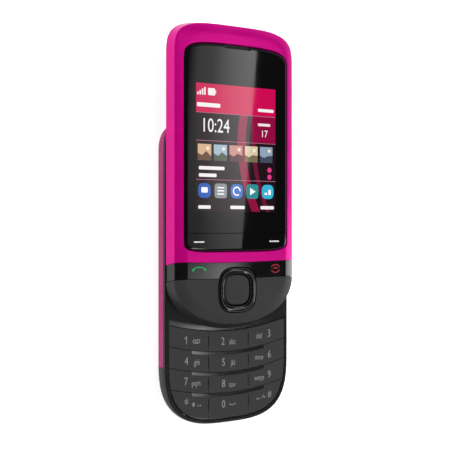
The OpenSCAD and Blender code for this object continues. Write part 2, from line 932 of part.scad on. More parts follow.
module chin_cover() {
    color(GREY)
        difference() {
            intersection() {
                upper_solid();
                below(groove_y - gap / 2, groove_sag, seam_lean);
            }
            upper_hollow();
            navi_hole();
        }
}

// The half of the glossy strip on one side, with the nub that presses its dome
module strip_key(side) {
    mirror([side, 0, 0]) {
        difference() {
            intersection() {
                upper_solid();
                below(seam_y - key_gap, seam_sag, seam_lean);
                slab(gap / 2, chin_y, upper_z + press + 0.1, [body_w, half_l, upper_t]);
            }
            below(groove_y + key_gap, groove_sag, seam_lean);
            upper_hollow();
            navi_hole();
        }
        translate([call_x, (seam_y + groove_y) / 2, nub_z])
            cylinder(h = under_face + nub_root - nub_z, r = 1.2);
    }
}

module call_key() {
    color(BLACK)
        strip_key(1);
}

module end_key() {
    color(BLACK)
        strip_key(0);
}

module selection_bar() {
    middle = (glass_low + selection_y) / 2;
    color("#0e0e10") {
        difference() {
            intersection() {
                prism(outline(GLASS, key_gap), under_face, body_t);
                upper_solid();
            }
            slab(-body_w, selection_y - gap, 0, [2 * body_w, half_l, 30]);
        }
        for (x = [-selection_nub_x, selection_nub_x])
            translate([x, middle, nub_z])
                cylinder(h = under_face + nub_root - nub_z, r = 1);
    }
}

module upper_board() {
    high = screen_y + screen_h + screen_head + 3.6;
    color(BOARD)
        intersection() {
            upper_inside(bezel_wall + gap + 1, upper_board_z, upper_board_z + upper_board_t);
            slab(-body_w, chin_y, 0, [2 * body_w, high - chin_y, body_t]);
        }
}

module upper_domes() {
    ring = navi_w / 2 - navi_band / 2 - 0.6;
    strip_y = (seam_y + groove_y) / 2;
    bar_y = (glass_low + selection_y) / 2;
    places = concat(
        [[0, navi_y]],
        [for (a = [0 : 90 : 270]) [ring * cos(a), navi_y + ring * sin(a)]],
        [for (side = [-1, 1]) [side * call_x, strip_y]],
        [for (side = [-1, 1]) [side * selection_nub_x, bar_y]]);
    color(GOLD)
        for (p = places)
            translate(concat(p, [upper_board_z + upper_board_t]))
                cylinder(h = upper_dome_h, r = 1.5);
}

module earpiece() {
    size = [10.4, 6.4];
    color(STEEL)
        slab(-size[0] / 2, screen_y + screen_h + screen_head + 4.6, upper_board_z,
             concat(size, [under_face - gap - upper_board_z]));
}

// Rubber carrier that tilts with the four-way ring
module navi_membrane() {
    thick = 0.45;
    color(RUBBER)
        difference() {
            prism(outline(NAVI, 0.3), nub_z - 0.05, nub_z - 0.05 + thick);
            translate([0, navi_y, 0])
                cylinder(h = body_t, r = 3);
        }
}

module navi_ring() {
    base = nub_z + 0.6 + tilt_gap;
    crown = 0.9;
    edge = [for (a = [0 : 22.5 : 90])
        [crown * (1 - cos(a)), body_t - crown * (1 - sin(a))]];
    color(BLACK)
        difference() {
            loft(concat([at_z(outline(NAVI), base)],
                        [for (e = edge) at_z(outline(NAVI, e[0]), e[1])]));
            prism(outline(NAVI, navi_band), base - 1, body_t + 1);
        }
}

module select_key() {
    inset = navi_w / 2 - select_half;
    base = nub_z + 0.6 + tilt_gap;
    color(GREY) {
        prism(outline(NAVI, inset), base, face_z);
        translate([0, navi_y, nub_z])
            cylinder(h = base + nub_root - nub_z, r = 2);
    }
}

front_housing();
end_cap();
back_cover();
chassis();
battery();
battery_contacts();
main_board();
shield_cans();
keypad_board();
keypad_domes();
keypad_mat();
rail_plate();
loudspeaker();
vibration_motor();
microphone();
camera_module();
camera_lens();
sim_reader();
card_reader();
usb_socket();
audio_jack();
charger_jack();
antenna();
lower_screws();
key(0);  // key_1
key(1);  // key_2
key(2);  // key_3
key(3);  // key_4
key(4);  // key_5
key(5);  // key_6
key(6);  // key_7
key(7);  // key_8
key(8);  // key_9
key(9);  // key_star
key(10);  // key_0
key(11);  // key_hash
front_bezel();
display_window();
display_panel();
display_frame();
rear_housing();
chin_cover();
slider_plate();
slide_shoes();
earpiece();
earpiece_mesh();
upper_board();
upper_domes();
upper_screws();
selection_bar();
call_key();
end_key();
navi_membrane();
navi_ring();
select_key();
slide_springs();
flex_cable();
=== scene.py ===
"""A slider phone, open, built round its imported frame: lacquered shells, glass, keys and finishes.

Sizes in the classes are millimetres. Meshes are built in millimetres and brought to metres once.
"""

import logging
import math
from dataclasses import dataclass, field
from enum import Enum
from typing import Optional, Sequence

import bmesh
import bpy
from mathutils import Matrix, Vector


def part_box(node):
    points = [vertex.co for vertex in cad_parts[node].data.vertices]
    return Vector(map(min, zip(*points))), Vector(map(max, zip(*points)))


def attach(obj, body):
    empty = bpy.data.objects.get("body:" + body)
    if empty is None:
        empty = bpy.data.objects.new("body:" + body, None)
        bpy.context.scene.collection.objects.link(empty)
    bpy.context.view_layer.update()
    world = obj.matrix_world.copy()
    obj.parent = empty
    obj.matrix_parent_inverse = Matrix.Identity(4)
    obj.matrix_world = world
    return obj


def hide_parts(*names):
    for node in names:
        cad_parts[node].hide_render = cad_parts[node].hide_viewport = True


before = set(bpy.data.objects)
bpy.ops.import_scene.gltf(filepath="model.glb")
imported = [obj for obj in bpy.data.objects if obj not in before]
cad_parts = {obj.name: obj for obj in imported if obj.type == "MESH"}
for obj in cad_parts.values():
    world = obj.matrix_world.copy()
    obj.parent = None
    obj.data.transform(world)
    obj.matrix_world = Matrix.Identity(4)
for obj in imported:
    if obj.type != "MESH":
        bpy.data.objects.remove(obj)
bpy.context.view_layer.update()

LOG = logging.getLogger("slider_phone")
MM = 0.001
END_STEPS = 60  # parts along each rounded end of an outline
INK_GAP = 0.002  # how far printed ink starts over its surface
INK_TOP = 0.03  # how far it stands over the surface

Point = tuple[float, float]
Place = tuple[float, float, float]
Thing = bpy.types.Object
Mesh = bpy.types.Mesh
Tree = bpy.types.NodeTree
Node = bpy.types.Node
Socket = bpy.types.NodeSocket


# ---------------------------------------------------------------- the phone's own measures

@dataclass(frozen=True)
class PhoneSize:
    """The measures that the pieces share, in millimetres, with the heights from the surface up."""

    half_width: float = 23.8
    upper_half_width: float = 23.6
    top: float = 65.2
    foot: float = -65.2
    lower_top: float = 34.2
    chin: float = -34.2
    seam: float = -12.4
    groove: float = -17.7
    seam_sag: float = 0.5
    groove_sag: float = 0.3
    seam_lean: float = 0.23
    split: float = 11.1
    upper_floor: float = 11.3
    face: float = 16.5
    ring_top: float = 16.8
    rim: float = 10.0
    cover_top: float = 9.9
    skin: float = 1.0
    crown: float = 1.1
    crown_width: float = 5.0
    lean: float = 0.75
    crease: float = 0.5
    under_face: float = 15.3
    shoulder: float = 14.5
    wall: float = 1.7
    gap: float = 0.1
    key_gap: float = 0.15
    ring_middle: float = -21.4
    pad_top: float = -35.1
    row_pitch: float = 6.8
    row_sag: float = 3.4
    middle_key: float = 15.5
    cover_end: float = -45.9
    camera_y: float = 22.2
    selection: float = -3.0
    ribbon_half: float = 4.0
    ribbon_gap: float = 1.15


SIZE = PhoneSize()


@dataclass(frozen=True)
class Outline:
    """A rounded outline: half width, then y, depth and squareness of its top and its foot end."""

    half: float
    top: float
    top_depth: float
    top_power: float
    low: float
    low_depth: float
    low_power: float

    def ring(self, inset: float = 0.0, low: float = 1.0) -> list[Point]:
        """Points round the outline, anticlockwise from its right side.

        Args:
            inset: how far the outline is drawn in.
            low: how many times as far its foot end is drawn in.

        Returns:
            The points as (x, y).
        """
        points = []
        ends = (
            (self.top - self.top_depth, self.top_depth - inset, self.top_power, 0.0),
            (self.low + self.low_depth, self.low_depth - inset * low, self.low_power, math.pi),
        )
        for middle, depth, power, start in ends:
            for i in range(END_STEPS + 1):
                angle = start + math.pi * i / END_STEPS
                points.append((
                    (self.half - inset) * squared(math.cos(angle), power),
                    middle + depth * squared(math.sin(angle), power),
                ))
        return points


def squared(value: float, power: float) -> float:
    """A power of a sine or cosine that keeps its sign."""
    size = abs(value) if abs(value) > 1e-9 else 0.0
    return math.copysign(size ** (2 / power), value)


LOWER = Outline(SIZE.half_width, SIZE.lower_top, 13, 3.9, SIZE.foot, 22.5, 3.2)
UPPER = Outline(SIZE.upper_half_width, SIZE.top, 13, 3.9, SIZE.chin, 16.5, 2.1)
GLASS = Outline(19.9, 57.9, 6, 3.6, -9.0, 4.5, 5)
RING = Outline(7.3, SIZE.ring_middle + 7.4, 7.35, 3, SIZE.ring_middle - 7.4, 7.35, 3)


def smile(y: float, sag: float, x: float) -> float:
    """A y on a curve that rises from the middle of the phone to its sides."""
    return y + sag * (x / SIZE.half_width) ** 2


def back_inset(z: float, base: float) -> float:
    """How far the back is drawn in at height z, for a skin that starts at height base."""
    share = (SIZE.cover_top - z) / (SIZE.cover_top - base)
    return base + 7.0 * (1 - math.sqrt(max(0.0, 1 - share * share)))


# ---------------------------------------------------------------- meshes
# Cutting solids reach past the phone on their outer sides, where their sizes are round numbers.

@dataclass
class Solid:
    """A closed mesh in millimetres, before it becomes a piece."""

    points: list[Place] = field(default_factory=list)
    faces: list[tuple[int, ...]] = field(default_factory=list)

    def add(self, other: "Solid") -> "Solid":
        """Takes another solid's points and faces in, and returns itself.

        Args:
            other: the solid that is taken in.

        Returns:
            This solid.
        """
        base = len(self.points)
        self.points += other.points
        self.faces += [tuple(base + i for i in f) for f in other.faces]
        return self


def add_object(name: str, data: bpy.types.ID) -> Thing:
    """Makes an object for its data and puts it in the scene.

    Args:
        name: the object's name.
        data: its mesh, text, camera or light.

    Returns:
        The new object.
    """
    thing = bpy.data.objects.new(name, data)
    bpy.context.scene.collection.objects.link(thing)
    return thing


def evaluated_mesh(thing: Thing) -> Mesh:
    """A new mesh of an object as it looks with its modifiers or its text."""
    bpy.context.view_layer.update()
    return bpy.data.meshes.new_from_object(
        thing.evaluated_get(bpy.context.evaluated_depsgraph_get()))


def solid_of(mesh: Mesh) -> Solid:
    """A mesh's points and faces."""
    return Solid([tuple(v.co) for v in mesh.vertices], [tuple(p.vertices) for p in mesh.polygons])


def at_height(points: Sequence[Point], z: float) -> list[Place]:
    """The points of an outline at one height."""
    return [(x, y, z) for x, y in points]


def loft(rings: Sequence[Sequence[Place]]) -> Solid:
    """A closed solid through rings with as many points each, closed flat at both ends.

    Args:
        rings: the rings, from one end to the other.

    Returns:
        The closed solid.
    """
    count = len(rings[0])
    solid = Solid([p for ring in rings for p in ring])
    for level in range(len(rings) - 1):
        for i in range(count):
            a, b = level * count + i, level * count + (i + 1) % count
            solid.faces.append((a, b, b + count, a + count))
    last = (len(rings) - 1) * count
    solid.faces.append(tuple(range(count - 1, -1, -1)))
    solid.faces.append(tuple(range(last, last + count)))
    return solid


def stack(outline: Outline, levels: Sequence[Point], low: float = 1.0) -> Solid:
    """A solid through an outline at several levels.

    Args:
        outline: the outline.
        levels: how far it is drawn in and its height, level by level.
        low: how many times as far its foot end is drawn in.

    Returns:
        The closed solid.
    """
    return loft([at_height(outline.ring(inset, low), z) for inset, z in levels])


def prism(points: Sequence[Point], low: float, high: float) -> Solid:
    """An outline drawn up from one height to another."""
    return loft([at_height(points, low), at_height(points, high)])


def block(x: float, y: float, z: float, size: Place) -> Solid:
    """A cutting block from its low corner and size."""
    w, d, h = size
    return prism([(x, y), (x + w, y), (x + w, y + d), (x, y + d)], z, z + h)


def turned(points: Sequence[Point]) -> list[Point]:
    """The points anticlockwise, whichever way they came."""
    area = sum(a[0] * b[1] - b[0] * a[1] for a, b in zip(points, [*points[1:], points[0]]))
    return list(points) if area > 0 else list(points)[::-1]


def drawn_in(points: Sequence[Point], inset: float) -> list[Point]:
    """A closed outline moved inwards along its own normals.

    Args:
        points: the outline, anticlockwise.
        inset: how far in, in millimetres; a negative value moves it out.

    Returns:
        As many points as came in.
    """
    moved = []
    count = len(points)
    for i, here in enumerate(points):
        before, after = points[i - 1], points[(i + 1) % count]
        way_in = Vector((here[0] - before[0], here[1] - before[1]))
        way_out = Vector((after[0] - here[0], after[1] - here[1]))
        if way_in.length < 1e-9:
            way_in = way_out
        if way_out.length < 1e-9:
            way_out = way_in
        a = Vector((-way_in.y, way_in.x)).normalized()
        b = Vector((-way_out.y, way_out.x)).normalized()
        normal = (a + b).normalized()
        share = max(0.5, normal.dot(a))
        moved.append((here[0] + normal.x * inset / share, here[1] + normal.y * inset / share))
    return moved


def filleted(points: Sequence[Point], radius: float) -> list[Point]:
    """An outline with its corners rounded.

    Args:
        points: the outline, anticlockwise.
        radius: distance from each corner at which its curve starts.

    Returns:
        The rounded outline.
    """
    out: list[Point] = []
    count = len(points)
    for i, here in enumerate(points):
        p, a, b = Vector(here), Vector(points[i - 1]), Vector(points[(i + 1) % count])
        way_in, way_out = p - a, b - p
        start = p - way_in.normalized() * min(radius, way_in.length * 0.9)
        end = p + way_out.normalized() * min(radius, way_out.length * 0.9)
        for k in range(6):
            t = k / 5
            point = start * (1 - t) ** 2 + p * (2 * t * (1 - t)) + end * t * t
            out.append((point.x, point.y))
    return out


def to_object(name: str, solid: Solid) -> Thing:
    """Makes a mesh object, still in millimetres.

    Args:
        name: its name.
        solid: its points and faces.

    Returns:
        The new object.
    """
    mesh = bpy.data.meshes.new(name)
    mesh.from_pydata(solid.points, [], solid.faces)
    bm = bmesh.new()
    bm.from_mesh(mesh)
    bmesh.ops.remove_doubles(bm, verts=bm.verts, dist=1e-5)
    bmesh.ops.recalc_face_normals(bm, faces=bm.faces)
    bm.to_mesh(mesh)
    bm.free()
    return add_object(name, mesh)


class Cut(Enum):
    """What one solid does to another."""

    AWAY = "DIFFERENCE"
    KEEP = "INTERSECT"
    JOIN = "UNION"


def carve(piece: Thing, steps: Sequence[tuple[Cut, Solid]]) -> Thing:
    """Cuts, keeps or joins solids on a piece, one after the other.

    Args:
        piece: an object in millimetres.
        steps: what to do and with which solid.

    Returns:
        The same piece with its new mesh.
    """
    tools = []
    for i, (action, solid) in enumerate(steps):
        tool = to_object(f"tool_{i}", solid)
        tools.append(tool)
        modifier = piece.modifiers.new(f"cut_{i}", "BOOLEAN")
        modifier.operation = action.value
        modifier.object = tool
        modifier.solver = "MANIFOLD"
    mesh = evaluated_mesh(piece)
    piece.modifiers.clear()
    old, piece.data = piece.data, mesh
    bpy.data.meshes.remove(old)
    mesh.name = piece.name
    for tool in tools:
        data = tool.data
        bpy.data.objects.remove(tool)
        bpy.data.meshes.remove(data)
    return piece


def finish_mesh(piece: Thing, crease_angle: float = 32.0) -> Thing:
    """Brings a piece to metres and shades it smooth between its edges.

    Args:
        piece: an object in millimetres.
        crease_angle: edges that turn by more than this many degrees stay sharp.

    Returns:
        The same piece.
    """
    mesh = piece.data
    bm = bmesh.new()
    bm.from_mesh(mesh)
    bmesh.ops.remove_doubles(bm, verts=bm.verts, dist=1e-4)
    bmesh.ops.dissolve_degenerate(bm, edges=bm.edges, dist=1e-5)
    limit = math.radians(crease_angle)
    for face in bm.faces:
        face.smooth = True
    for edge in bm.edges:
        edge.smooth = len(edge.link_faces) == 2 and edge.calc_face_angle(0.0) < limit
    bm.to_mesh(mesh)
    bm.free()
    mesh.transform(Matrix.Scale(MM, 4))
    mesh.update()
    # Large flat faces keep their own normal, so that they mirror without a bend at their rims.
    weights = piece.modifiers.new("face_weights", "WEIGHTED_NORMAL")
    weights.keep_sharp = True
    weights.weight = 90
    return piece


def below(y: float, sag: float, lean: float = 0.0) -> Solid:
    """Everything on the foot side of a seam that curves like a smile and leans with depth.

    Args:
        y: where the seam crosses the middle of the face.
        sag: how far it rises at the sides.
        lean: how far it moves to the foot for each millimetre down.

    Returns:
        The cutting solid.
    """
    xs = [30 - i for i in range(61)]
    rings = []
    for z in (SIZE.upper_floor - 1, SIZE.face + 1):
        line = [(x, smile(y, sag, x) - lean * (SIZE.face - z), z) for x in xs]
        rings.append([(-30, -99.4, z), (30, -99.4, z), *line])
    return loft(rings)


def upper_solid() -> Solid:
    """The whole outer shape of the upper half, with a softly rounded crease and crowned face.

    Returns:
        The closed solid.
    """
    edge_z = SIZE.face - SIZE.crown
    turn = math.radians(60)
    crest = SIZE.lean + SIZE.crease / 2
    foot_lean, foot_crown = 2.2, 1.1
    rings = [at_height(UPPER.ring(), SIZE.upper_floor),
             at_height(UPPER.ring(SIZE.lean * 0.5, foot_lean), edge_z - 2.4)]
    for i in range(7):
        a = turn * i / 6
        inset = SIZE.lean + SIZE.crease * (1 - math.cos(a))
        z = edge_z - SIZE.crease * (math.sin(turn) - math.sin(a))
        rings.append(at_height(UPPER.ring(inset, foot_lean), z))
    for i in range(1, 13):
        t = i / 12
        inset = crest + (SIZE.crown_width - crest) * t
        low = foot_lean * crest + foot_crown * (inset - crest)
        z = SIZE.face - SIZE.crown * (1 - t) ** 1.7
        rings.append(at_height(UPPER.ring(inset, low / inset), z))
    return loft(rings)


def upper_hollow() -> Solid:
    """The hollow under the face of the upper half, stepped under its sloping edge."""
    step = 3.0
    return stack(UPPER, [(SIZE.wall, SIZE.upper_floor - 1), (SIZE.wall, SIZE.shoulder),
                         (step, SIZE.shoulder), (step, SIZE.under_face)], 2)


def tub() -> Solid:
    """The deep tub that the back cover and the end cap are cut from.

    Returns:
        The hollow solid, open at its top.
    """
    steps = 22
    rises = [1 - math.cos(math.pi / 2 * i / steps) for i in range(steps + 1)]
    levels = []
    for base, part in ((0.0, rises), (SIZE.skin, rises[::-1])):
        for rise in part:
            z = base + (SIZE.cover_top - base) * rise
            levels.append((back_inset(z, base), z))
    return stack(LOWER, levels)


# ---------------------------------------------------------------- finishes

def linear(colour: str) -> tuple[float, float, float, float]:
    """Turns an sRGB hex value into a linear colour.

    Args:
        colour: six hex digits after a hash sign.

    Returns:
        Red, green, blue and an alpha of 1.
    """
    parts = [int(colour[i:i + 2], 16) / 255 for i in (1, 3, 5)]
    flat = [p / 12.92 if p <= 0.04045 else ((p + 0.055) / 1.055) ** 2.4 for p in parts]
    return (*flat, 1.0)


def add_node(tree: Tree, kind: str, settings: Optional[dict] = None,
             inputs: Optional[dict] = None) -> Node:
    """Adds a node with its settings and its links.

    Args:
        tree: the tree that it goes in.
        kind: the node's type without its ShaderNode prefix.
        settings: attributes of the node by name.
        inputs: for each input's name or number, a value or the output that feeds it.

    Returns:
        The new node.
    """
    node = tree.nodes.new("ShaderNode" + kind)
    for name, value in (settings or {}).items():
        setattr(node, name, value)
    for name, value in (inputs or {}).items():
        if isinstance(value, Socket):
            tree.links.new(value, node.inputs[name])
        else:
            node.inputs[name].default_value = value
    return node


def empty_tree(owner: bpy.types.ID) -> Tree:
    """Gives a material or world an empty node tree.

    Args:
        owner: the material or world.

    Returns:
        Its node tree.
    """
    owner.use_nodes = True
    owner.node_tree.nodes.clear()
    return owner.node_tree


def blend(tree: Tree, factor: Socket, first: object,
          second: object) -> Socket:
    """Mixes two colours or outputs by a factor."""
    return add_node(tree, "Mix", {"data_type": "RGBA"},
                    {"Factor": factor, 6: first, 7: second}).outputs[2]


def remap(tree: Tree, value: Socket, source: Point,
          target: Point = (0.0, 1.0)) -> Socket:
    """Carries a value from one range over to another, and holds it at that range's ends."""
    return add_node(tree, "MapRange", None, {
        "Value": value, "From Min": source[0], "From Max": source[1],
        "To Min": target[0], "To Max": target[1]}).outputs["Result"]


def noise(tree: Tree, place: Socket, size_mm: float,
          detail: float, roughness: float = 0.5) -> Socket:
    """Noise whose cells are about size_mm wide in a scene in metres."""
    return add_node(tree, "TexNoise", None, {
        "Vector": place, "Scale": grain_scale(size_mm), "Detail": detail,
        "Roughness": roughness}).outputs["Fac"]


def mirrored(tree: Tree, path: Node) -> Socket:
    """Is 1 for rays that come from a reflection or through glass, and 0 for all others."""
    return add_node(tree, "Math", {"operation": "MAXIMUM"}, {
        0: path.outputs["Is Glossy Ray"],
        1: path.outputs["Is Transmission Ray"]}).outputs["Value"]


def grain_scale(size_mm: float) -> float:
    """Texture scale that makes a pattern's cells about size_mm wide in a scene in metres."""
    return 1.0 / (size_mm * MM)


@dataclass(frozen=True)
class Finish:
    """A surface: what it is made of, its colour and its fine relief, sizes in millimetres."""

    name: str
    colour: str
    roughness: float
    worn: Optional[str] = None
    grain_mm: float = 0.3
    grain_depth: float = 0.004
    cloud_mm: float = 9.0
    colour_spread: float = 0.06
    roughness_spread: float = 0.05
    metallic: float = 0.0
    ior: float = 1.5
    coat: float = 0.0
    coat_roughness: float = 0.05
    stretch: Place = (1.0, 1.0, 1.0)
    glow: float = 0.0
    speck: float = 0.0
    wear_mm: float = 0.3
    sheen_share: float = 0.5

    def material(self) -> bpy.types.Material:
        """Makes the material, or returns it if it is there already.

        Returns:
            The material.
        """
        found = bpy.data.materials.get(self.name)
        if found:
            return found
        material = bpy.data.materials.new(self.name)
        tree = empty_tree(material)
        place = add_node(tree, "TexCoord").outputs["Object"]
        if self.stretch != (1.0, 1.0, 1.0):
            place = add_node(tree, "Mapping", None,
                             {"Vector": place, "Scale": self.stretch}).outputs["Vector"]
        cloud = noise(tree, place, self.cloud_mm, 2.0)
        grain = noise(tree, place, self.grain_mm, 3.0, 0.55)
        shader = add_node(tree, "BsdfPrincipled", None, {
            "Metallic": self.metallic, "Coat Weight": self.coat,
            "Coat Roughness": self.coat_roughness, "Specular IOR Level": self.sheen_share})
        if not self.metallic:
            shader.inputs["IOR"].default_value = self.ior
        self.paint(tree, shader, place, cloud, grain)
        rough = remap(tree, cloud, (0.3, 0.7), (
            max(0.01, self.roughness - self.roughness_spread),
            self.roughness + self.roughness_spread))
        tree.links.new(rough, shader.inputs["Roughness"])
        bump = add_node(tree, "Bump", None, {
            "Height": self.relief(tree, place, grain), "Strength": 0.6,
            "Distance": self.grain_depth * MM})
        tree.links.new(bump.outputs["Normal"], shader.inputs["Normal"])
        add_node(tree, "OutputMaterial", None, {"Surface": shader.outputs["BSDF"]})
        return material

    def relief(self, tree: Tree, place: Socket, grain: Socket) -> Socket:
        """The height that the fine relief follows: plain moulded grain."""
        return grain

    def paint(self, tree: Tree, shader: Node, place: Socket, cloud: Socket,
              grain: Socket) -> None:
        """Colours the surface: its own colour, a slow drift, fine specks and wear on its edges.

        Args:
            tree: the material's nodes.
            shader: the surface shader.
            place: where on the object each point is.
            cloud: a slow noise.
            grain: a fine noise.
        """
        base = linear(self.colour)
        dark = tuple(c * (1 - self.colour_spread) for c in base[:3]) + (1.0,)
        light = tuple(min(1.0, c * (1 + self.colour_spread)) for c in base[:3]) + (1.0,)
        colour = blend(tree, cloud, dark, light)
        if self.speck:
            fine = remap(tree, grain, (0.62, 0.78), (0.0, self.speck))
            lifted = tuple(min(1.0, c * 1.8 + 0.006) for c in base[:3]) + (1.0,)
            colour = blend(tree, fine, colour, lifted)
        if self.worn:
            soft = add_node(tree, "Bevel", {"samples": 3},
                            {"Radius": self.wear_mm * MM}).outputs["Normal"]
            flat = add_node(tree, "NewGeometry").outputs["Normal"]
            match = add_node(tree, "VectorMath", {"operation": "DOT_PRODUCT"},
                             {0: soft, 1: flat}).outputs["Value"]
            ridge = remap(tree, match, (0.965, 0.84), (0.0, 0.9))
            patchy = add_node(tree, "Math", {"operation": "MULTIPLY"},
                              {0: ridge, 1: cloud}).outputs["Value"]
            colour = blend(tree, patchy, colour, linear(self.worn))
        if self.glow < 1:
            tree.links.new(colour, shader.inputs["Base Color"])
        else:
            shader.inputs["Base Color"].default_value = linear("#040405")
        # Glow: the display's own light, and on the green and red inks a faint painted glow.
        if self.glow:
            tree.links.new(colour, shader.inputs["Emission Color"])
            shader.inputs["Emission Strength"].default_value = self.glow


@dataclass(frozen=True)
class Brushed(Finish):
    """Metal with lines rolled or brushed along the phone."""

    def relief(self, tree: Tree, place: Socket, grain: Socket) -> Socket:
        """Lines far longer than they are wide."""
        lines = add_node(tree, "Mapping", None, {"Vector": place, "Scale": (1.0, 0.04, 1.0)})
        return noise(tree, lines.outputs["Vector"], self.grain_mm, 2.0)


@dataclass(frozen=True)
class CircuitBoard(Finish):
    """Glass-fibre board under a green solder mask, with its tracks showing through."""

    track: str = "#3f8a55"
    pitch_mm: float = 1.4

    def paint(self, tree: Tree, shader: Node, place: Socket, cloud: Socket,
              grain: Socket) -> None:
        """Draws pale tracks between cells of a square pattern on the mask's green.

        Args:
            tree: the material's nodes.
            shader: the surface shader.
            place: where on the object each point is.
            cloud: a slow noise.
            grain: a fine noise.
        """
        cells = add_node(tree, "TexVoronoi", {"feature": "F1", "distance": "CHEBYCHEV"}, {
            "Vector": place, "Scale": grain_scale(self.pitch_mm), "Randomness": 0.55})
        track = remap(tree, cells.outputs["Distance"], (0.40, 0.44))
        colour = blend(tree, track, linear(self.colour), linear(self.track))
        tree.links.new(colour, shader.inputs["Base Color"])


# Lacquered polycarbonate: sprayed magenta with fine metal flakes and a satin clear coat, so it
# keeps its colour in its highlights and shows soft, broad reflections.
MAGENTA_LACQUER = Finish("Lacquered_Polycarbonate_Magenta", "#d20287", 0.30,
                         grain_mm=0.22, grain_depth=0.0015, metallic=0.55, coat=0.03,
                         coat_roughness=0.18, roughness_spread=0.03, sheen_share=0.25,
                         colour_spread=0.04, speck=0.05)
# The same lacquer on the back cover, a little rougher from handling, with its colour darkened as
# painted shade, since the low cover gets less light under the upper half.
COVER_LACQUER_PAINTED_SHADE = Finish("Lacquered_Polycarbonate_Cover_Painted_Shade", "#a8026a", 0.36,
                       grain_mm=0.25, grain_depth=0.003, metallic=0.4, coat=0.02, sheen_share=0.22,
                       coat_roughness=0.25, colour_spread=0.05, roughness_spread=0.06, speck=0.05)
# Hard-coated acrylic over black backing print: deep black with one clean mirror layer.
WINDOW = Finish("Coated_Acrylic_Window", "#040405", 0.03, grain_mm=6.0, grain_depth=0.0004,
                cloud_mm=14.0, roughness_spread=0.015, colour_spread=0.1, ior=1.49)
# Gloss moulded polycarbonate, polished in the mould: black with sharp highlights.
GLOSS_BLACK = Finish("Polished_Polycarbonate_Black", "#070708", 0.07, worn="#1c1c1f",
                     grain_mm=2.5, grain_depth=0.0008, roughness_spread=0.03, ior=1.55)
# Spark-eroded moulded ABS: dark grey with an even, very fine grain and blurred highlights.
MATTE_GREY = Finish("Moulded_ABS_Grey", "#2c2c2c", 0.46, sheen_share=0.3, worn="#3c3c3d",
                    grain_mm=0.16, grain_depth=0.006, colour_spread=0.07, speck=0.25)
# Moulded polycarbonate with a matte coat: as grey as the chin, and a little smoother.
KEY_GREY = Finish("Moulded_Polycarbonate_Keys", "#2c2c2c", 0.42, sheen_share=0.3,
                  worn="#3c3c3d", grain_mm=0.18, grain_depth=0.005, colour_spread=0.06,
                  speck=0.2)
# Polished bevels of the key caps, left bare by the matte coat.
KEY_FACET = Finish("Polished_Polycarbonate_Key_Facet", "#1a1a1c", 0.16, grain_mm=0.8,
                   grain_depth=0.001, roughness_spread=0.04)
# Satin moulded ABS of the lower housing: black with a faint sheen.
SATIN_BLACK = Finish("Moulded_ABS_Satin_Black", "#0e0e10", 0.33, sheen_share=0.25,
                     worn="#1e1e22", grain_mm=0.2, grain_depth=0.005, speck=0.2)
# The same ABS on the end cap, deeper black and a little smoother.
END_CAP_BLACK = Finish("Moulded_ABS_End_Cap", "#0b0b0c", 0.32, sheen_share=0.2,
                       worn="#18181b", grain_mm=0.22, grain_depth=0.004, speck=0.15)
# Glass-filled nylon frames inside: dull black with pale specks of fibre.
INNER_NYLON = Finish("Glass_Filled_Nylon", "#2a2a2d", 0.55, grain_mm=0.35, grain_depth=0.01,
                     speck=0.5)
# Acetal sliding parts: waxy ivory.
ACETAL = Finish("Moulded_Acetal_Ivory", "#dcdad0", 0.35, grain_mm=0.6, grain_depth=0.004)
# Silicone rubber mat: soft dull grey.
SILICONE = Finish("Moulded_Silicone_Grey", "#55565a", 0.62, grain_mm=0.4, grain_depth=0.01)
BOARD_GREEN = CircuitBoard("Fibreglass_Board_Solder_Mask", "#1d5236", 0.32, grain_mm=0.5,
                           grain_depth=0.01)
# Rolled stainless steel: grey with fine lines along the phone.
ROLLED_STEEL = Brushed("Rolled_Stainless_Steel", "#b5b7ba", 0.28, metallic=1.0, grain_mm=0.12,
                       grain_depth=0.004)
# Dark-chromed wire cloth of the earpiece.
ROLLED_STEEL_DARK = Finish("Chromed_Wire_Cloth", "#3c3d40", 0.35, metallic=0.8, grain_mm=0.2,
                           grain_depth=0.003)
# Gold flash over nickel on contacts and snap domes.
GOLD_FLASH = Finish("Gold_Plated_Nickel", "#d6ad55", 0.24, metallic=1.0, grain_mm=0.2,
                    grain_depth=0.003)
# Printed polyester wrap of the battery.
CELL_WRAP = Finish("Polyester_Battery_Wrap", "#24262b", 0.4, grain_mm=0.8, grain_depth=0.006)
# Moulded glass of the camera, coated so that it shows a faint blue.
LENS_GLASS = Finish("Coated_Lens_Glass", "#0b1220", 0.03, grain_mm=3.0, grain_depth=0.0005,
                    ior=1.6, coat=1.0, coat_roughness=0.02, roughness_spread=0.01)
# Hard-drawn spring wire and the amber polyimide film of the ribbon.
SPRING_WIRE = Brushed("Drawn_Spring_Wire", "#8f9397", 0.3, metallic=1.0, grain_mm=0.1)
POLYIMIDE = Finish("Polyimide_Film_Ribbon", "#a85f25", 0.25, grain_mm=1.2, grain_depth=0.003)
# Screen-printed inks. The green and the red ink also glow faintly: a painted glow, since no lamp
# lights them.
LEGEND_INK = Finish("Printed_Ink_Light_Grey", "#7e7f81", 0.45, grain_mm=0.15, grain_depth=0.002)
WHITE_INK = Finish("Printed_Ink_White", "#c4c4c4", 0.35, grain_mm=0.15, grain_depth=0.002)
GREEN_INK_PAINTED_GLOW = Finish("Printed_Ink_Green_Painted_Glow", "#178045", 0.4, grain_mm=0.15, grain_depth=0.002,
                   glow=0.12)
RED_INK_PAINTED_GLOW = Finish("Printed_Ink_Red_Painted_Glow", "#8c1626", 0.4, grain_mm=0.15, grain_depth=0.002, glow=0.12)


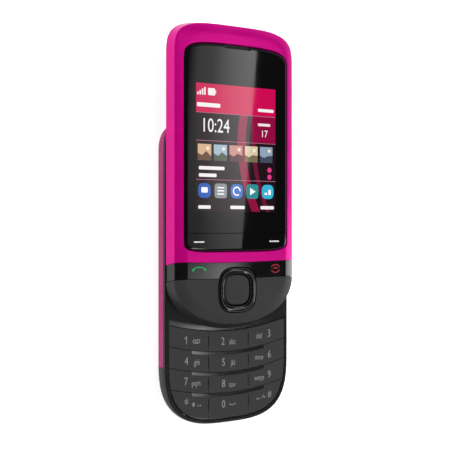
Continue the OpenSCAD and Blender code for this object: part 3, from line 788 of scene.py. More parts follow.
def dress(piece: Thing, finish: Finish, body: str, slot: str, *replaced: str) -> None:
    """Gives a piece its finish and ties it to its body.

    Args:
        piece: the piece, in metres.
        finish: what it is made of.
        body: the CAD body that it rides on.
        slot: the record's material slot; not used.
        replaced: the CAD nodes that it stands for.
    """
    piece.data.materials.clear()
    piece.data.materials.append(finish.material())
    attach(piece, body)
    if replaced:
        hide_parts(*replaced)
    LOG.info("%s rides on %s", piece.name, body)


# ---------------------------------------------------------------- drawing helpers

def hoop(rings: Sequence[Sequence[Place]]) -> Solid:
    """A closed hoop through rings with as many points each, from the last ring to the first.

    Args:
        rings: the rings round its cross-section.

    Returns:
        The closed solid.
    """
    count = len(rings[0])
    solid = Solid([p for ring in rings for p in ring])
    for level in range(len(rings)):
        nxt = (level + 1) % len(rings)
        for i in range(count):
            j = (i + 1) % count
            solid.faces.append((level * count + i, level * count + j,
                                nxt * count + j, nxt * count + i))
    return solid


def disc(x: float, y: float, radius: float, steps: int = 32) -> list[Point]:
    """A circle's points."""
    return [(x + radius * math.cos(2 * math.pi * i / steps),
             y + radius * math.sin(2 * math.pi * i / steps)) for i in range(steps)]


def arc(x: float, y: float, wide: float, high: float, start: float, end: float,
        steps: int) -> list[Point]:
    """Points along part of an ellipse.

    Args:
        x: its middle.
        y: its middle.
        wide: half its width.
        high: half its height.
        start: where the arc starts, in half turns from the right.
        end: where it ends, in half turns.
        steps: how many parts it has.

    Returns:
        One point more than it has parts.
    """
    angles = [math.pi * (start + (end - start) * i / steps) for i in range(steps + 1)]
    return [(x + wide * math.cos(a), y + high * math.sin(a)) for a in angles]


def round_box(x: float, y: float, width: float, height: float, radius: float) -> list[Point]:
    """A rectangle from its middle and size, with rounded corners.

    Args:
        x: its middle.
        y: its middle.
        width: its whole width.
        height: its whole height.
        radius: distance from each corner at which its curve starts.

    Returns:
        Its points.
    """
    w, h = width / 2, height / 2
    corners = [(x - w, y - h), (x + w, y - h), (x + w, y + h), (x - w, y + h)]
    return filleted(corners, min(radius, w * 0.98, h * 0.98))


def line_strip(path: Sequence[Point], width: float) -> list[Point]:
    """The outline of a stroke of even width along a path.

    Args:
        path: the middle of the stroke.
        width: how wide it is.

    Returns:
        Its points, anticlockwise.
    """
    left, right = [], []
    for i, here in enumerate(path):
        before, after = path[max(i - 1, 0)], path[min(i + 1, len(path) - 1)]
        way = Vector((after[0] - before[0], after[1] - before[1])).normalized()
        off = Vector((-way.y, way.x)) * width / 2
        left.append((here[0] + off.x, here[1] + off.y))
        right.append((here[0] - off.x, here[1] - off.y))
    return turned(left + right[::-1])


def lettering(text: str, x: float, y: float, z: float, height: float, squeeze: float = 0.85,
              thickness: float = 0.03) -> Solid:
    """Digits or letters as a thin printed solid, centred on a point.

    Args:
        text: what is printed.
        x: where its middle is.
        y: where its middle is.
        z: the surface that it is printed on.
        height: height of its capitals, in millimetres.
        squeeze: its width as a share of the plain letter's.
        thickness: how thick the ink is.

    Returns:
        The printed solid.
    """
    curve = bpy.data.curves.new("ink", "FONT")
    curve.body = text
    curve.size = height / 0.73
    curve.extrude = thickness / 2
    curve.align_x = "CENTER"
    curve.align_y = "CENTER"
    curve.resolution_u = 3
    holder = add_object("ink", curve)
    mesh = evaluated_mesh(holder)
    solid = Solid([(x + v.co.x * squeeze, y + v.co.y, z + thickness / 2 + v.co.z)
                   for v in mesh.vertices], [tuple(p.vertices) for p in mesh.polygons])
    bpy.data.objects.remove(holder)
    bpy.data.curves.remove(curve)
    bpy.data.meshes.remove(mesh)
    return solid


# ---------------------------------------------------------------- the upper half

@dataclass
class UpperShell:
    """The lacquered bezel, the black strip keys and the grey chin."""

    lip: float = 0.28
    strip_floor: float = 11.7
    nub_floor: float = 13.3
    call_x: float = 14.0

    def ring_hole(self) -> Solid:
        """The hole that the four-way ring moves in."""
        return prism(RING.ring(-SIZE.key_gap), SIZE.upper_floor, SIZE.face + 1)

    def bezel(self) -> None:
        """Makes the bezel, with a small chamfered lip round the glass."""
        opening = stack(GLASS, [(0.0, SIZE.under_face - 1), (0.0, SIZE.face - 0.42),
                                (-self.lip, SIZE.face + 0.05), (-self.lip, SIZE.face + 1)])
        piece = carve(to_object("bezel", upper_solid()), [
            (Cut.AWAY, below(SIZE.seam, SIZE.seam_sag, SIZE.seam_lean)),
            (Cut.AWAY, upper_hollow()), (Cut.AWAY, opening)])
        dress(finish_mesh(piece), MAGENTA_LACQUER, "slider", "bezel_paint", "front_bezel")

    def chin(self) -> None:
        """Makes the grey chin cover below the strip."""
        piece = carve(to_object("chin", upper_solid()), [
            (Cut.KEEP, below(SIZE.groove - SIZE.gap / 2, SIZE.groove_sag, SIZE.seam_lean)),
            (Cut.AWAY, upper_hollow()), (Cut.AWAY, self.ring_hole())])
        dress(finish_mesh(piece), MATTE_GREY, "slider", "satin_black", "chin_cover")

    def strip_key(self, name: str, side: int, ink: Finish) -> None:
        """Makes one half of the glossy strip with its printed symbol.

        Args:
            name: the key's body, call or end.
            side: -1 for the left half and 1 for the right half.
            ink: the finish of its symbol.
        """
        reach = block(SIZE.gap / 2 if side > 0 else -30, -60, self.strip_floor, (29.95, 60, 9))
        nub = prism(disc(side * self.call_x, (SIZE.seam + SIZE.groove) / 2, 1.2),
                    self.nub_floor, SIZE.under_face + 0.3)
        piece = carve(to_object(f"{name}_key_cap", upper_solid()), [
            (Cut.KEEP, below(SIZE.seam - SIZE.key_gap, SIZE.seam_sag, SIZE.seam_lean)),
            (Cut.KEEP, reach),
            (Cut.AWAY, below(SIZE.groove + SIZE.key_gap, SIZE.groove_sag, SIZE.seam_lean)),
            (Cut.AWAY, upper_hollow()), (Cut.AWAY, self.ring_hole()), (Cut.JOIN, nub)])
        dress(finish_mesh(piece), GLOSS_BLACK, name, "gloss_black", f"{name}_key")
        symbol = finish_mesh(to_object(f"{name}_symbol", self.symbol(name)))
        dress(symbol, ink, name, "gloss_black")

    def symbol(self, name: str) -> Solid:
        """The plain handset arc of the call key, or the ringed arc of the end key.

        Args:
            name: call or end.

        Returns:
            The thin printed solid.
        """
        z = SIZE.face + INK_GAP
        thin, thick = z + INK_TOP, z + 0.034
        if name == "call":
            x, y, reach = -14.5, -14.5, 2.2
            solid = prism(line_strip(arc(x, y, reach, 0.75, 0, 1, 16), 0.42), z, thin)
            for end in (-1, 1):
                foot = round_box(x + end * reach, y - 0.12, 0.85, 0.75, 0.25)
                solid.add(prism(foot, z, thick))
            return solid
        x, y = 15.0, -14.8
        solid = Solid()
        for start in (0.12, 1.12):
            ring = arc(x, y, 1.75, 1.3, start, start + 0.76, 14)
            solid.add(prism(line_strip(ring, 0.32), z, thin))
        grip = arc(x, y - 0.2, 0.8, 0.42, 0, 1, 12)
        return solid.add(prism(line_strip(grip, 0.4), z, thick))

    def build(self) -> None:
        """Makes every piece of the shell."""
        self.bezel()
        self.chin()
        self.strip_key("call", -1, GREEN_INK_PAINTED_GLOW)
        self.strip_key("end", 1, RED_INK_PAINTED_GLOW)


@dataclass
class RingAndSelect:
    """The four-way ring and the select key inside it."""

    floor: float = 14.25
    ring_width: float = 2.2
    select_inset: float = 2.5
    stem: float = 2.0
    nub_floor: float = 13.3

    def build(self) -> None:
        """Makes the rounded glossy ring and the matte key with its soft edge."""
        top = SIZE.ring_top
        profile = [(0.0, self.floor), (0.0, top - 1.0)]
        for i in range(1, 9):
            a = math.pi / 2 * i / 8
            profile.append((1.0 * (1 - math.cos(a)), top - 1.0 + 1.0 * math.sin(a)))
        for i in range(1, 7):
            a = math.pi / 2 * i / 6
            profile.append((1.5 + 0.7 * math.sin(a), top - 0.7 + 0.7 * math.cos(a)))
        profile.append((self.ring_width, self.floor))
        solid = hoop([at_height(RING.ring(inset), z) for inset, z in profile])
        ring = finish_mesh(to_object("four_way_ring", solid), 50)
        dress(ring, GLOSS_BLACK, "navi", "gloss_black", "navi_ring")
        inset = self.select_inset
        soft_edge = ((0.0, 0.5), (0.04, 0.38), (0.12, 0.27), (0.25, 0.17), (0.45, 0.1), (0.9, 0.05),
                     (1.8, 0.02), (3.2, 0.0))
        levels = [(inset, self.floor)]
        levels += [(inset + extra, SIZE.face - drop) for extra, drop in soft_edge]
        stem = prism(disc(0, SIZE.ring_middle, self.stem), self.nub_floor, self.floor + 0.5)
        key = carve(to_object("select_cap", stack(RING, levels)), [(Cut.JOIN, stem)])
        dress(finish_mesh(key, 50), MATTE_GREY, "select", "key_grey", "select_key")


@dataclass
class Glazing:
    """The display window, the selection bar under it and the grille."""

    edge: float = 1.5
    edge_drop: float = 0.55
    slot_half: float = 5.0
    slot_low: float = 56.6
    nub_x: float = 13.0
    nub_y: float = -6.0
    mark: Place = (14.5, -5.75, 3.9)
    nub_floor: float = 13.3

    def pane(self, inset: float) -> Solid:
        """A pane in the glass outline with a softly curved edge, tall enough to meet the face.

        Args:
            inset: how far it is drawn in from the outline.

        Returns:
            The closed solid.
        """
        levels = [(inset, SIZE.under_face), (inset, SIZE.face - self.edge_drop)]
        for i in range(1, 9):
            t = i / 8
            drop = self.edge_drop * (1 - t) ** 2.2
            levels.append((inset + self.edge * t ** 1.3 * 0.8, SIZE.face - drop + 0.03 * t))
        levels.append((inset + self.edge, SIZE.face + 0.2))
        return stack(GLASS, levels)

    def window(self) -> None:
        """Makes the display window with its slot for the earpiece."""
        slot = block(-self.slot_half, self.slot_low, SIZE.under_face - 1,
                     (2 * self.slot_half, 5, 5))
        piece = carve(to_object("window", self.pane(SIZE.gap)), [
            (Cut.KEEP, upper_solid()),
            (Cut.AWAY, block(-30, -40, 10, (60, 40 + SIZE.selection + SIZE.gap, 20))),
            (Cut.AWAY, slot)])
        dress(finish_mesh(piece, 38), WINDOW, "slider", "window", "display_window")

    def selection_bar(self) -> None:
        """Makes the rocking bar below the window, with its two printed dashes."""
        steps = [(Cut.KEEP, upper_solid()),
                 (Cut.AWAY, block(-30, SIZE.selection - SIZE.gap, 10, (60, 90, 20)))]
        for side in (-1, 1):
            steps.append((Cut.JOIN, prism(disc(side * self.nub_x, self.nub_y, 1.0), self.nub_floor,
                                          SIZE.under_face + 0.3)))
        piece = carve(to_object("selection_bar_cap", self.pane(SIZE.key_gap)), steps)
        dress(finish_mesh(piece, 38), WINDOW, "selection", "gloss_black", "selection_bar")
        marks = Solid()
        for side in (-1, 1):
            x, y, length = self.mark
            marks.add(prism(round_box(side * x, y, length, 0.45, 0.15), SIZE.face + INK_GAP,
                            SIZE.face + INK_TOP))
        dress(finish_mesh(to_object("selection_marks", marks)), WHITE_INK, "selection",
              "gloss_black")

    def grille(self) -> None:
        """Makes the earpiece grille: a woven mesh of fine wires over a dark backing."""
        low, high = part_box("earpiece_mesh")
        x0, y0, z0 = (v / MM for v in low)
        x1, y1, z1 = (v / MM for v in high)
        solid = block(x0, y0, z0, (x1 - x0, y1 - y0, (z1 - z0) * 0.6))
        pitch, wire = 0.3, 0.13
        for i in range(int((x1 - x0) / pitch)):
            x = x0 + pitch * (i + 0.5)
            solid.add(block(x - wire / 2, y0, z1 - 0.22, (wire, y1 - y0, 0.12)))
        for i in range(int((y1 - y0) / pitch)):
            y = y0 + pitch * (i + 0.5)
            solid.add(block(x0, y - wire / 2, z1 - 0.16, (x1 - x0, wire, 0.12)))
        piece = finish_mesh(to_object("earpiece_grille", solid))
        dress(piece, ROLLED_STEEL_DARK, "slider", "steel", "earpiece_mesh")

    def build(self) -> None:
        """Makes the glass parts and the grille."""
        self.window()
        self.selection_bar()
        self.grille()


class Layer(Enum):
    """How far each layer of the picture stands over the glass, in millimetres."""

    GROUND = 0.010
    SHADE = 0.016
    FIELD = 0.022
    TILE = 0.028
    SIGN = 0.034


@dataclass
class Picture:
    """The lit picture: a start screen of plain shapes, built as thin flush faces under one gloss.

    Every colour of the picture is one piece, so that the reflections run on over it unbroken.
    """

    left: float = -15.3
    right: float = 15.3
    low: float = 5.3
    high: float = 46.1
    shift: Point = (-0.35, -1.4)
    pale: str = "#f4f0f2"
    white: str = "#ffffff"
    digits: str = "#f8f6f7"
    parts: dict[str, Solid] = field(default_factory=dict)

    def put(self, colour: str, layer: Layer, points: Sequence[Point]) -> None:
        """Adds one flat shape.

        Args:
            colour: its sRGB hex value.
            layer: how high it lies.
            points: its outline.
        """
        z = SIZE.face + layer.value
        dx, dy = self.shift
        points = [(x + dx, y + dy) for x, y in points]
        self.parts.setdefault(colour, Solid()).add(prism(turned(points), z - 0.004, z))

    def box(self, colour: str, layer: Layer, x0: float, x1: float, y0: float, y1: float,
            radius: float = 0.0) -> None:
        """Adds one rectangle, with rounded corners if it has a radius."""
        if radius:
            shape = round_box((x0 + x1) / 2, (y0 + y1) / 2, x1 - x0, y1 - y0, radius)
        else:
            shape = [(x0, y0), (x1, y0), (x1, y1), (x0, y1)]
        self.put(colour, layer, shape)

    def ground(self) -> None:
        """Lays the dark wallpaper with its crimson ribbons, and the crimson header."""
        self.box("#1c0a12", Layer.GROUND, self.left, self.right, self.low, 36.8)
        for base, width, colour in ((6.0, 3.2, "#8e0c3c"), (11.5, 1.6, "#6b0d33")):
            upper, lower = [], []
            for i in range(25):
                y = self.low + 0.1 + (36.6 - self.low) * i / 24
                x = base - 0.5 * (y - self.low) + 0.011 * (y - self.low) ** 2
                upper.append((min(self.right, max(self.left, x)), y))
                lower.append((min(self.right - 0.01, max(self.left + 0.01, x + width)), y))
            self.put(colour, Layer.SHADE, upper + lower[::-1])
        self.box("#cc0050", Layer.FIELD, self.left, self.right, 36.9, self.high)
        self.box("#90003c", Layer.FIELD, 5.6, self.right, 28.1, 36.7)
        for y in (36.8, 27.9, 15.5):
            self.box("#c77a96", Layer.SIGN, self.left, self.right, y - 0.07, y + 0.07)

    def header(self) -> None:
        """Draws signal bars, a battery and two caption bars."""
        for i in range(4):
            x = -14.9 + i * 0.85
            self.box(self.pale, Layer.SIGN, x, x + 0.55, 42.4, 43.2 + 0.55 * i)
        self.box(self.pale, Layer.SIGN, -10.9, -8.3, 42.4, 44.7, 0.3)
        self.box(self.pale, Layer.SIGN, -8.2, -7.9, 43.0, 44.1)
        self.box(self.pale, Layer.SIGN, -15.0, -6.3, 38.6, 39.9, 0.4)
        self.box(self.pale, Layer.SIGN, 8.3, 14.6, 38.3, 39.3, 0.4)

    def clock(self) -> None:
        """Draws the time and a small day sheet in the dark block."""
        dx, dy = self.shift
        top = SIZE.face + Layer.SIGN.value - 0.004
        ink = lettering("10:24", -8.1 + dx, 32.6 + dy, top, 4.6, 0.78, 0.004)
        self.parts.setdefault(self.digits, Solid()).add(ink)
        self.box("#f2dfe6", Layer.SIGN, 8.3, 13.2, 33.6, 34.5, 0.3)
        date = lettering("17", 10.8 + dx, 31.0 + dy, top, 2.4, 0.85, 0.004)
        self.parts.setdefault(self.digits, Solid()).add(date)

    def tiles(self) -> None:
        """Draws five tiles of plain scenery: sky, hill and sun in changing colours."""
        skies = ("#d8b08c", "#a3b8c9", "#c98f86", "#d9c9a8", "#8fa3b8")
        hills = ("#6b4a3a", "#4d5a4a", "#5c2f38", "#7a6a52", "#3d4a5c")
        for i, (sky, hill) in enumerate(zip(skies, hills)):
            x = -14.7 + i * 5.95
            self.box(sky, Layer.TILE, x, x + 5.0, 21.6, 26.8)
            slope = [(x, 21.6), (x + 5.0, 21.6), (x + 5.0, 23.0 + 0.25 * i),
                     (x + 3.1, 24.6 - 0.2 * i), (x + 1.6, 23.2), (x, 23.9)]
            self.put(hill, Layer.SIGN, slope)
            self.put("#f4ead2", Layer.SIGN, disc(x + 3.7, 25.5, 0.55, 16))

    def lists(self) -> None:
        """Draws two list rows as bars, each with a small mark at its right end."""
        for y, long in ((19.2, 9.6), (16.9, 6.6)):
            self.box(self.pale, Layer.SIGN, -14.3, -14.3 + long, y - 0.55, y + 0.55, 0.4)
            self.put("#e23a86", Layer.SIGN, disc(12.9, y, 0.85, 20))

    def apps(self) -> None:
        """Draws five round-cornered buttons with plain signs, and three bars under them."""
        fills = ("#2f5fb8", "#8d9096", "#3a6fc4", "#2c8f92", "#36b4d6")
        for i, fill in enumerate(fills):
            x = -12.2 + i * 6.1
            self.put(fill, Layer.TILE, round_box(x, 12.0, 4.7, 4.7, 1.1 if i % 2 else 1.9))
            if i == 0:
                self.put(self.white, Layer.SIGN, round_box(x, 12.2, 2.4, 1.7, 0.4))
            elif i == 1:
                for k in (-1, 0, 1):
                    self.box(self.white, Layer.SIGN, x - 1.3, x + 1.3, 11.8 + k, 12.2 + k)
            elif i == 2:
                ring = arc(x, 12.0, 1.3, 1.3, 0.0, 12 / 7, 24)
                self.put(self.white, Layer.SIGN, line_strip(ring, 0.45))
            elif i == 3:
                self.put(self.white, Layer.SIGN, [(x - 0.9, 10.8), (x + 1.3, 12.0),
                                                 (x - 0.9, 13.2)])
            else:
                for k in (-1, 1):
                    self.box(self.white, Layer.SIGN, x + k * 0.75 - 0.5, x + k * 0.75 + 0.5,
                             11.0, 12.2 + 0.5 * k)
        for x, long in ((-12.2, 4.6), (0.3, 5.6), (12.0, 5.4)):
            self.box(self.pale, Layer.SIGN, x - long / 2, x + long / 2, 6.2, 7.3, 0.4)

    def build(self) -> None:
        """Draws every part of the picture and makes one piece for each colour."""
        self.ground()
        self.header()
        self.clock()
        self.tiles()
        self.lists()
        self.apps()
        for i, (colour, solid) in enumerate(self.parts.items()):
            # Light from the liquid crystal cell through the window's own clear coat.
            glow = Finish(f"Lit_Display_{colour[1:]}", colour, 0.03, grain_mm=6.0,
                          grain_depth=0.0004, cloud_mm=14.0, roughness_spread=0.015,
                          colour_spread=0.02, ior=1.49, glow=1.0)
            dress(finish_mesh(to_object(f"picture_{i:02d}", solid)), glow, "slider", "display")


# ---------------------------------------------------------------- the lower half

@dataclass
class LowerShell:
    """The lacquered back cover, the black end cap and the front housing round the keypad."""

    camera_radius: float = 4.0
    speaker_x: float = 10.0
    socket_z: float = 5.4
    side_socket_x: float = 11.186
    headset_hole: float = 3.1
    charger_hole: float = 2.35
    data_hole: Point = (8.1, 3.2)
    pad_rim: float = 1.15
    pocket: Place = (19.0, -28.0, 9.0)
    pocket_end: float = 28.5
    skirt_low: float = 7.3
    skirt_in: float = 1.75
    boss_x: float = 20.0
    boss_ys: Point = (-25.4, 20.2)
    boss_radius: float = 1.15
    boss_low: float = 6.25
    ribbon_y: float = 4.025
    socket_end: float = -53.4
    rim_facet: Place = (1.5, 22.4, 0.24)
    edge: tuple[Point, ...] = ((0.12, 10.0), (0.03, 10.05), (0.0, 10.14), (0.0, 10.72),
                               (0.05, 10.9), (0.16, 11.03), (0.34, 11.1))

    def cover(self) -> None:
        """Makes the back cover with its camera window and sound slots."""
        steps = [(Cut.AWAY, block(-50, -80, -1, (100, 80 + SIZE.cover_end, 20))),
                 (Cut.AWAY, loft([at_height(disc(0, SIZE.camera_y, r, 64), z) for r, z in
                                  ((self.camera_radius + 0.4, -1),
                                   (self.camera_radius + 0.35, 0.0),
                                   (self.camera_radius, 0.3), (self.camera_radius, 3))]))]
        for i in range(3):
            y = SIZE.camera_y - 2.2 + i * 1.7
            slot = round_box(-self.speaker_x, y, 5.4 + 0.9, 0.9, 0.45)
            steps.append((Cut.AWAY, prism(slot, -1, 3)))
        piece = carve(to_object("cover_shell", tub()), steps)
        # The cover's darker lacquer is painted shade for its low place under the upper half.
        dress(finish_mesh(piece), COVER_LACQUER_PAINTED_SHADE, "cover", "cover_paint", "back_cover")

    def camera_trim(self) -> None:
        """Makes the polished ring that lines the camera window."""
        outer = self.camera_radius - 0.02
        rings = []
        for r, z in ((outer, 0.34), (outer, 0.95), (3.45, 0.95), (3.35, 0.8), (3.5, 0.42),
                     (3.7, 0.26), (3.85, 0.24)):
            rings.append(at_height(disc(0, SIZE.camera_y, r, 64), z))
        trim = finish_mesh(to_object("camera_trim", hoop(rings)), 50)
        dress(trim, GLOSS_BLACK, "cover", "gloss_black")

    def lens(self) -> None:
        """Makes the camera's black window with its stepped funnel, and the small domed lens."""
        low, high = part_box("camera_lens")
        radius, z = (high[0] - low[0]) / 2 / MM, low[2] / MM
        top = high[2] / MM
        steps = ((radius, top), (radius, z + 0.12), (radius - 0.12, z), (1.9, z), (1.75, z + 0.14),
                 (1.45, z + 0.14), (1.3, z + 0.28), (1.0, z + 0.28))
        funnel = loft([at_height(disc(0, SIZE.camera_y, r, 48), h) for r, h in steps])
        window = finish_mesh(to_object("camera_window", funnel), 30)
        dress(window, WINDOW, "base", "lens_glass", "camera_lens")
        bowl = [at_height(disc(0, SIZE.camera_y, reach, 32), level)
                for reach, level in arc(0, z + 0.29, 0.98, -0.2, 0, 0.5, 7)[:-1]]
        dome = finish_mesh(to_object("camera_dome", loft(bowl)), 40)
        dress(dome, LENS_GLASS, "base", "lens_glass")

    def end_cap(self) -> None:
        """Makes the black cap at the foot with the mouths of its three sockets."""
        def mouth(points: Sequence[Point]) -> Solid:
            """A socket's mouth from its outline in x and z, with a small lead-in.

            Args:
                points: the outline.

            Returns:
                The cutting solid.
            """
            rings = []
            for y, grow in ((-70, 0.5), (SIZE.foot, 0.35), (SIZE.foot + 0.9, 0.0),
                            (self.socket_end, 0.0)):
                rings.append([(x, y, z) for x, z in drawn_in(points, -grow)])
            return loft([ring[::-1] for ring in rings])
        z = self.socket_z
        width, height = self.data_hole
        steps = [(Cut.AWAY, block(-50, SIZE.cover_end - SIZE.gap, -1, (100, 100, 20))),
                 (Cut.AWAY, mouth(disc(0, z, self.headset_hole, 48))),
                 (Cut.AWAY, mouth(disc(self.side_socket_x, z, self.charger_hole, 40))),
                 (Cut.AWAY, mouth(round_box(-self.side_socket_x, z, width, height, 0.5)))]
        piece = carve(to_object("end_cap_shell", tub()), steps)
        dress(finish_mesh(piece), END_CAP_BLACK, "base", "satin_black", "end_cap")

    def housing(self) -> None:
        """Makes the front housing: rounded band, keypad rim with a polished facet, rail pocket."""
        half, low, floor = self.pocket
        rim = SIZE.rim
        pad = [(x, smile(SIZE.pad_top + SIZE.key_gap, SIZE.row_sag, x))
               for x in (24 - i for i in range(49))]
        opening = [(-24, -95), (24, -95), *pad]
        skirt = self.skirt_in
        steps = [
            (Cut.JOIN, prism(LOWER.ring(skirt), self.skirt_low, rim + 0.05)),
            (Cut.AWAY, stack(LOWER, [(skirt + 1.0, self.skirt_low - 1), (skirt + 1.0, rim)])),
            (Cut.JOIN, block(-half - 1, low - 1, floor - 0.6,
                             (2 * half + 2, self.pocket_end - low + 2, rim - floor + 0.65))),
            (Cut.AWAY, block(-half, low, floor, (2 * half, self.pocket_end - low, 9))),
            (Cut.AWAY, block(-SIZE.ribbon_half, self.ribbon_y, 5,
                             (2 * SIZE.ribbon_half, SIZE.ribbon_gap, 9)))]
        for side in (-1, 1):
            for y in self.boss_ys:
                boss = disc(side * self.boss_x, y, self.boss_radius)
                steps.append((Cut.JOIN, prism(boss, self.boss_low, rim + 0.05)))
        wide = self.pad_rim - 0.15
        well = carve(to_object("well", stack(LOWER, [
            (self.pad_rim, rim - 1), (self.pad_rim, 10.9), (wide, 11.12), (wide, 12)])),
            [(Cut.KEEP, prism(opening, rim - 2, 13))])
        width, half_facet, depth = self.rim_facet
        steps += [(Cut.AWAY, solid_of(well.data)),
                  (Cut.AWAY, facet_wedge(SIZE.pad_top + SIZE.key_gap, width, half_facet,
                                         SIZE.split, depth, above=True))]
        bpy.data.objects.remove(well)
        piece = carve(to_object("front_shell", stack(LOWER, self.edge)), steps)
        dress(finish_mesh(piece), SATIN_BLACK, "base", "satin_black", "front_housing")
        polish_facets(piece, SIZE.split)

    def build(self) -> None:
        """Makes every piece of the lower shell."""
        self.cover()
        self.camera_trim()
        self.lens()
        self.end_cap()
        self.housing()


def facet_wedge(y: float, width: float, half: float, top: float, depth: float,
                above: bool = False) -> Solid:
    """A cutter that leaves a slope facing the foot along a row's smile-shaped edge.

    Args:
        y: the row's edge at the middle of the phone.
        width: how wide the slope is.
        half: how far it reaches to either side.
        top: height of the surface that it is cut in.
        depth: how deep its low edge is.
        above: whether the slope lies above the edge, instead of below it.

    Returns:
        The cutting solid.
    """
    rings = []
    steps = 40
    for i in range(steps + 1):
        x = -half + 2 * half * i / steps
        edge = smile(y, SIZE.row_sag, x)
        high = edge + width if above else edge + 0.3
        low = edge - 0.4 if above else edge - width
        tilt = depth / width
        drop_low = tilt * (high - low)
        rings.append([(x, high, top + 0.001), (x, high, top + 1), (x, low - 0.12, top + 1),
                      (x, low - 0.12, top + 0.001), (x, low, top - drop_low)])
    return loft(rings)


def polish_facets(piece: Thing, top: float) -> None:
    """Gives the sloping faces near a height the polished finish of the bevels.

    Args:
        piece: the piece, in metres.
        top: height of the surface round them, in millimetres.
    """
    piece.data.materials.append(KEY_FACET.material())
    for face in piece.data.polygons:
        slope = face.normal.y < -0.06 and face.normal.z > 0.9
        if slope and top - 0.6 < face.center.z / MM < top + 0.01:
            face.material_index = 1


@dataclass(frozen=True)
class KeyPrint:
    """What is printed on a key: text or a mark, its middle and its height."""

    text: str
    x: float
    y: float
    height: float = 2.6


class Mark(Enum):
    """Plain printed marks beside the legends."""

    LOOPS = "loops"
    ARROW = "arrow"
    DOTS = "dots"
    SPACE = "space"
    PEAK = "peak"


